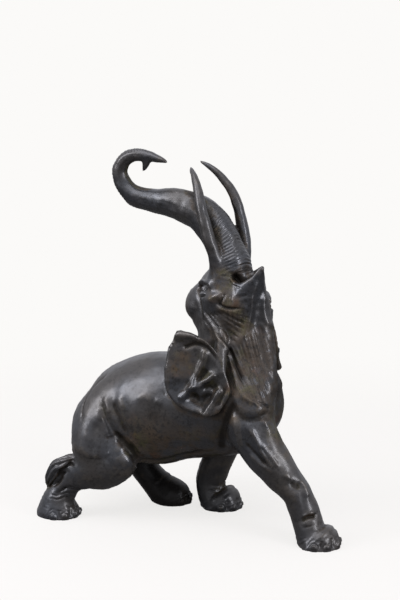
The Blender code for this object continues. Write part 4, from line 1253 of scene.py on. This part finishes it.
def studio_world(settings):
    """An even dome: the camera sees the paper's tone, and the light it gives is set by itself."""
    world = bpy.data.worlds.new("studio")
    world.use_nodes = True
    nodes = Nodes(world.node_tree)
    output = world.node_tree.nodes["World Output"]
    seen = nodes.add("ShaderNodeBackground", Color=rgba(settings.backdrop), Strength=1.0)
    height = nodes.add("ShaderNodeSeparateXYZ", Vector=nodes.add("ShaderNodeTexCoord").outputs["Generated"])
    strength = nodes.ramp(height.outputs["Z"], -0.4, 0.45, 0.06 * settings.dome, settings.dome)
    light = nodes.add("ShaderNodeBackground", Color=rgba(SOFTBOX_COLOUR), Strength=strength)
    path = nodes.add("ShaderNodeLightPath")
    mix = nodes.tree.nodes.new("ShaderNodeMixShader")
    nodes.put(mix, "0", path.outputs["Is Camera Ray"])
    nodes.put(mix, "1", light.outputs[0])
    nodes.put(mix, "2", seen.outputs[0])
    nodes.put(output, "Surface", mix.outputs[0])
    return world


def softbox(name, azimuth, elevation, distance, size, radiance):
    """A rectangular area light that faces the figure; its power is pi x area x radiance."""
    light = bpy.data.lights.new(name, "AREA")
    light.shape = "RECTANGLE"
    light.size, light.size_y = size
    light.energy = np.pi * size[0] * size[1] * radiance
    light.color = SOFTBOX_COLOUR
    obj = bpy.data.objects.new(name, light)
    back = toward(azimuth, elevation)
    obj.location = Vector(AIM) + distance * back
    obj.rotation_euler = back.to_track_quat("Z", "Y").to_euler()
    bpy.context.scene.collection.objects.link(obj)


def toward(azimuth, elevation):
    """The direction from the figure at an azimuth, from its right side to its face, and an elevation."""
    a, e = np.radians(azimuth), np.radians(elevation)
    return Vector((np.sin(a) * np.cos(e), -np.cos(a) * np.cos(e), np.sin(e)))


class ElephantSettings(bpy.types.PropertyGroup):
    """Sizes and finish of the casting."""

    cell: FloatProperty(
        name="Cell", description="Size of the cells that fuse the masses, in table millimetres",
        default=6.5, min=2.0,
    )
    ring_pitch: FloatProperty(
        name="Ring pitch", description="Distance between the trunk's rings, in table millimetres",
        default=5.4,
    )
    ring_height: FloatProperty(
        name="Ring height", description="Height of the trunk's rings, in table millimetres", default=1.5
    )
    unevenness: FloatProperty(
        name="Unevenness", description="How far the modelled skin swells, in table millimetres", default=1.0
    )
    dark: FloatVectorProperty(
        name="Dark patina", description="Main colour", subtype="COLOR", default=(0.030, 0.032, 0.037)
    )
    dark_warm: FloatVectorProperty(
        name="Warm patina", description="Clouds in the main colour",
        subtype="COLOR", default=(0.034, 0.030, 0.027),
    )
    brown: FloatVectorProperty(
        name="Brown", description="Colour of the hollows", subtype="COLOR", default=(0.042, 0.030, 0.020)
    )
    umber: FloatVectorProperty(
        name="Umber", description="Colour of the earthy patches",
        subtype="COLOR", default=(0.048, 0.034, 0.022),
    )
    olive: FloatVectorProperty(
        name="Olive", description="Green tint in the hollows",
        subtype="COLOR", default=(0.050, 0.048, 0.022),
    )
    rust: FloatVectorProperty(
        name="Rust", description="Red spots in the hollows", subtype="COLOR", default=(0.12, 0.045, 0.018)
    )
    # The darkest colour: painted shade, painted shadow on the left legs, and the grain's specks.
    soot: FloatVectorProperty(
        name="Shade_and_speck_colour", description="Blackest parts", subtype="COLOR", default=(0.007, 0.006, 0.005)
    )
    bare: FloatVectorProperty(
        name="Bare bronze", description="Colour of the worn rims",
        subtype="COLOR", default=(0.42, 0.32, 0.20),
    )
    wear: FloatProperty(
        name="Wear", description="How bare the worn rims are", subtype="FACTOR", default=0.04
    )
    metallic: FloatProperty(
        name="Metallic", description="How metallic the patina looks", subtype="FACTOR", default=0.55
    )
    roughness: FloatProperty(
        name="Roughness", description="Roughness of the open surface", subtype="FACTOR", default=0.36
    )
    wax: FloatProperty(
        name="Wax", description="Weight of the wax over the patina", subtype="FACTOR", default=0.4
    )


class StudioSettings(bpy.types.PropertyGroup):
    """Camera, floor and lights."""

    azimuth: FloatProperty(
        name="Azimuth", description="Camera's turn from the figure's right side, in degrees", default=22.0
    )
    elevation: FloatProperty(
        name="Elevation", description="Camera's height angle, in degrees", default=11.0
    )
    distance: FloatProperty(
        name="Distance", description="From the camera to its aim", unit="LENGTH", default=2.85
    )
    lens: FloatProperty(
        name="Lens", description="Focal length in millimetres on a 36 mm frame", default=90.0
    )
    floor_radius: FloatProperty(
        name="Floor radius", description="Radius of the paper floor", unit="LENGTH", default=1.6
    )
    floor_weight: FloatProperty(
        name="Floor weight", description="How much the floor covers the backdrop",
        subtype="FACTOR", default=0.21,
    )
    floor_colour: FloatVectorProperty(
        name="Floor", description="Colour of the floor", subtype="COLOR", default=(0.55, 0.525, 0.50)
    )
    backdrop: FloatVectorProperty(
        name="Backdrop", description="Colour behind", subtype="COLOR", default=(0.965, 0.955, 0.940)
    )
    dome: FloatProperty(name="Dome", description="Strength of the even light from all sides", default=0.98)


class MESH_OT_bronze_elephant(bpy.types.Operator):
    """Add the patinated bronze casting in place of its CAD solid"""

    bl_idname = "mesh.bronze_elephant"
    bl_label = "Bronze elephant"

    def execute(self, context):
        settings = context.scene.elephant_settings
        mesh = elephant_mesh(settings)
        mesh.name = "bronze_elephant"
        mesh.shade_smooth()
        piece = bpy.data.objects.new("bronze_elephant", mesh)
        context.scene.collection.objects.link(piece)
        mesh.materials.append(patina(settings))
        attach(piece, "root")
        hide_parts(NODE)
        return {"FINISHED"}


class SCENE_OT_elephant_studio(bpy.types.Operator):
    """Add the floor, the lights and the camera"""

    bl_idname = "scene.elephant_studio"
    bl_label = "Studio"

    def execute(self, context):
        scene = context.scene
        settings = scene.studio_settings
        floor = bpy.data.objects.new("floor", floor_mesh(settings))
        floor.data.materials.append(floor_material(settings))
        scene.collection.objects.link(floor)
        floor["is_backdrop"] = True
        scene.world = studio_world(settings)
        for name, *place in SOFTBOXES:
            softbox(name, *place)
        camera = bpy.data.objects.new("camera", bpy.data.cameras.new("camera"))
        camera.data.lens = settings.lens
        camera.data.sensor_width = 36.0
        camera.data.clip_start, camera.data.clip_end = 0.05, 50.0
        back = toward(settings.azimuth, settings.elevation)
        camera.location = Vector(AIM) + settings.distance * back
        camera.rotation_euler = back.to_track_quat("Z", "Y").to_euler()
        scene.collection.objects.link(camera)
        scene.camera = camera
        scene.view_settings.view_transform = "Standard"
        return {"FINISHED"}


class VIEW3D_PT_elephant(bpy.types.Panel):
    """The pieces and their settings"""

    bl_label = "Bronze elephant"
    bl_space_type = "VIEW_3D"
    bl_region_type = "UI"
    bl_category = "Elephant"

    def draw(self, context):
        column = self.layout.column()
        groups = ("elephant_settings", "studio_settings")
        for operator, group in zip((MESH_OT_bronze_elephant, SCENE_OT_elephant_studio), groups):
            settings = getattr(context.scene, group)
            column.operator(operator.bl_idname)
            for name in settings.__annotations__:
                column.prop(settings, name)


CLASSES = (
    ElephantSettings,
    StudioSettings,
    MESH_OT_bronze_elephant,
    SCENE_OT_elephant_studio,
    VIEW3D_PT_elephant,
)


def register():
    """Registers the classes and hangs the settings on the scene."""
    for entry in CLASSES:
        bpy.utils.register_class(entry)
    bpy.types.Scene.elephant_settings = PointerProperty(type=ElephantSettings)
    bpy.types.Scene.studio_settings = PointerProperty(type=StudioSettings)


def unregister():
    """Takes the settings and the classes away again."""
    del bpy.types.Scene.studio_settings
    del bpy.types.Scene.elephant_settings
    for entry in reversed(CLASSES):
        bpy.utils.unregister_class(entry)


def main():
    """Builds every piece and the studio."""
    register()
    bpy.ops.mesh.bronze_elephant()
    bpy.ops.scene.elephant_studio()
    boxes = {"cad": CAD_BOUNDS, "visual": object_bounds()}
    boxes = {name: [list(map(float, corner)) for corner in box] for name, box in boxes.items()}


if __name__ == "__main__":
    main()
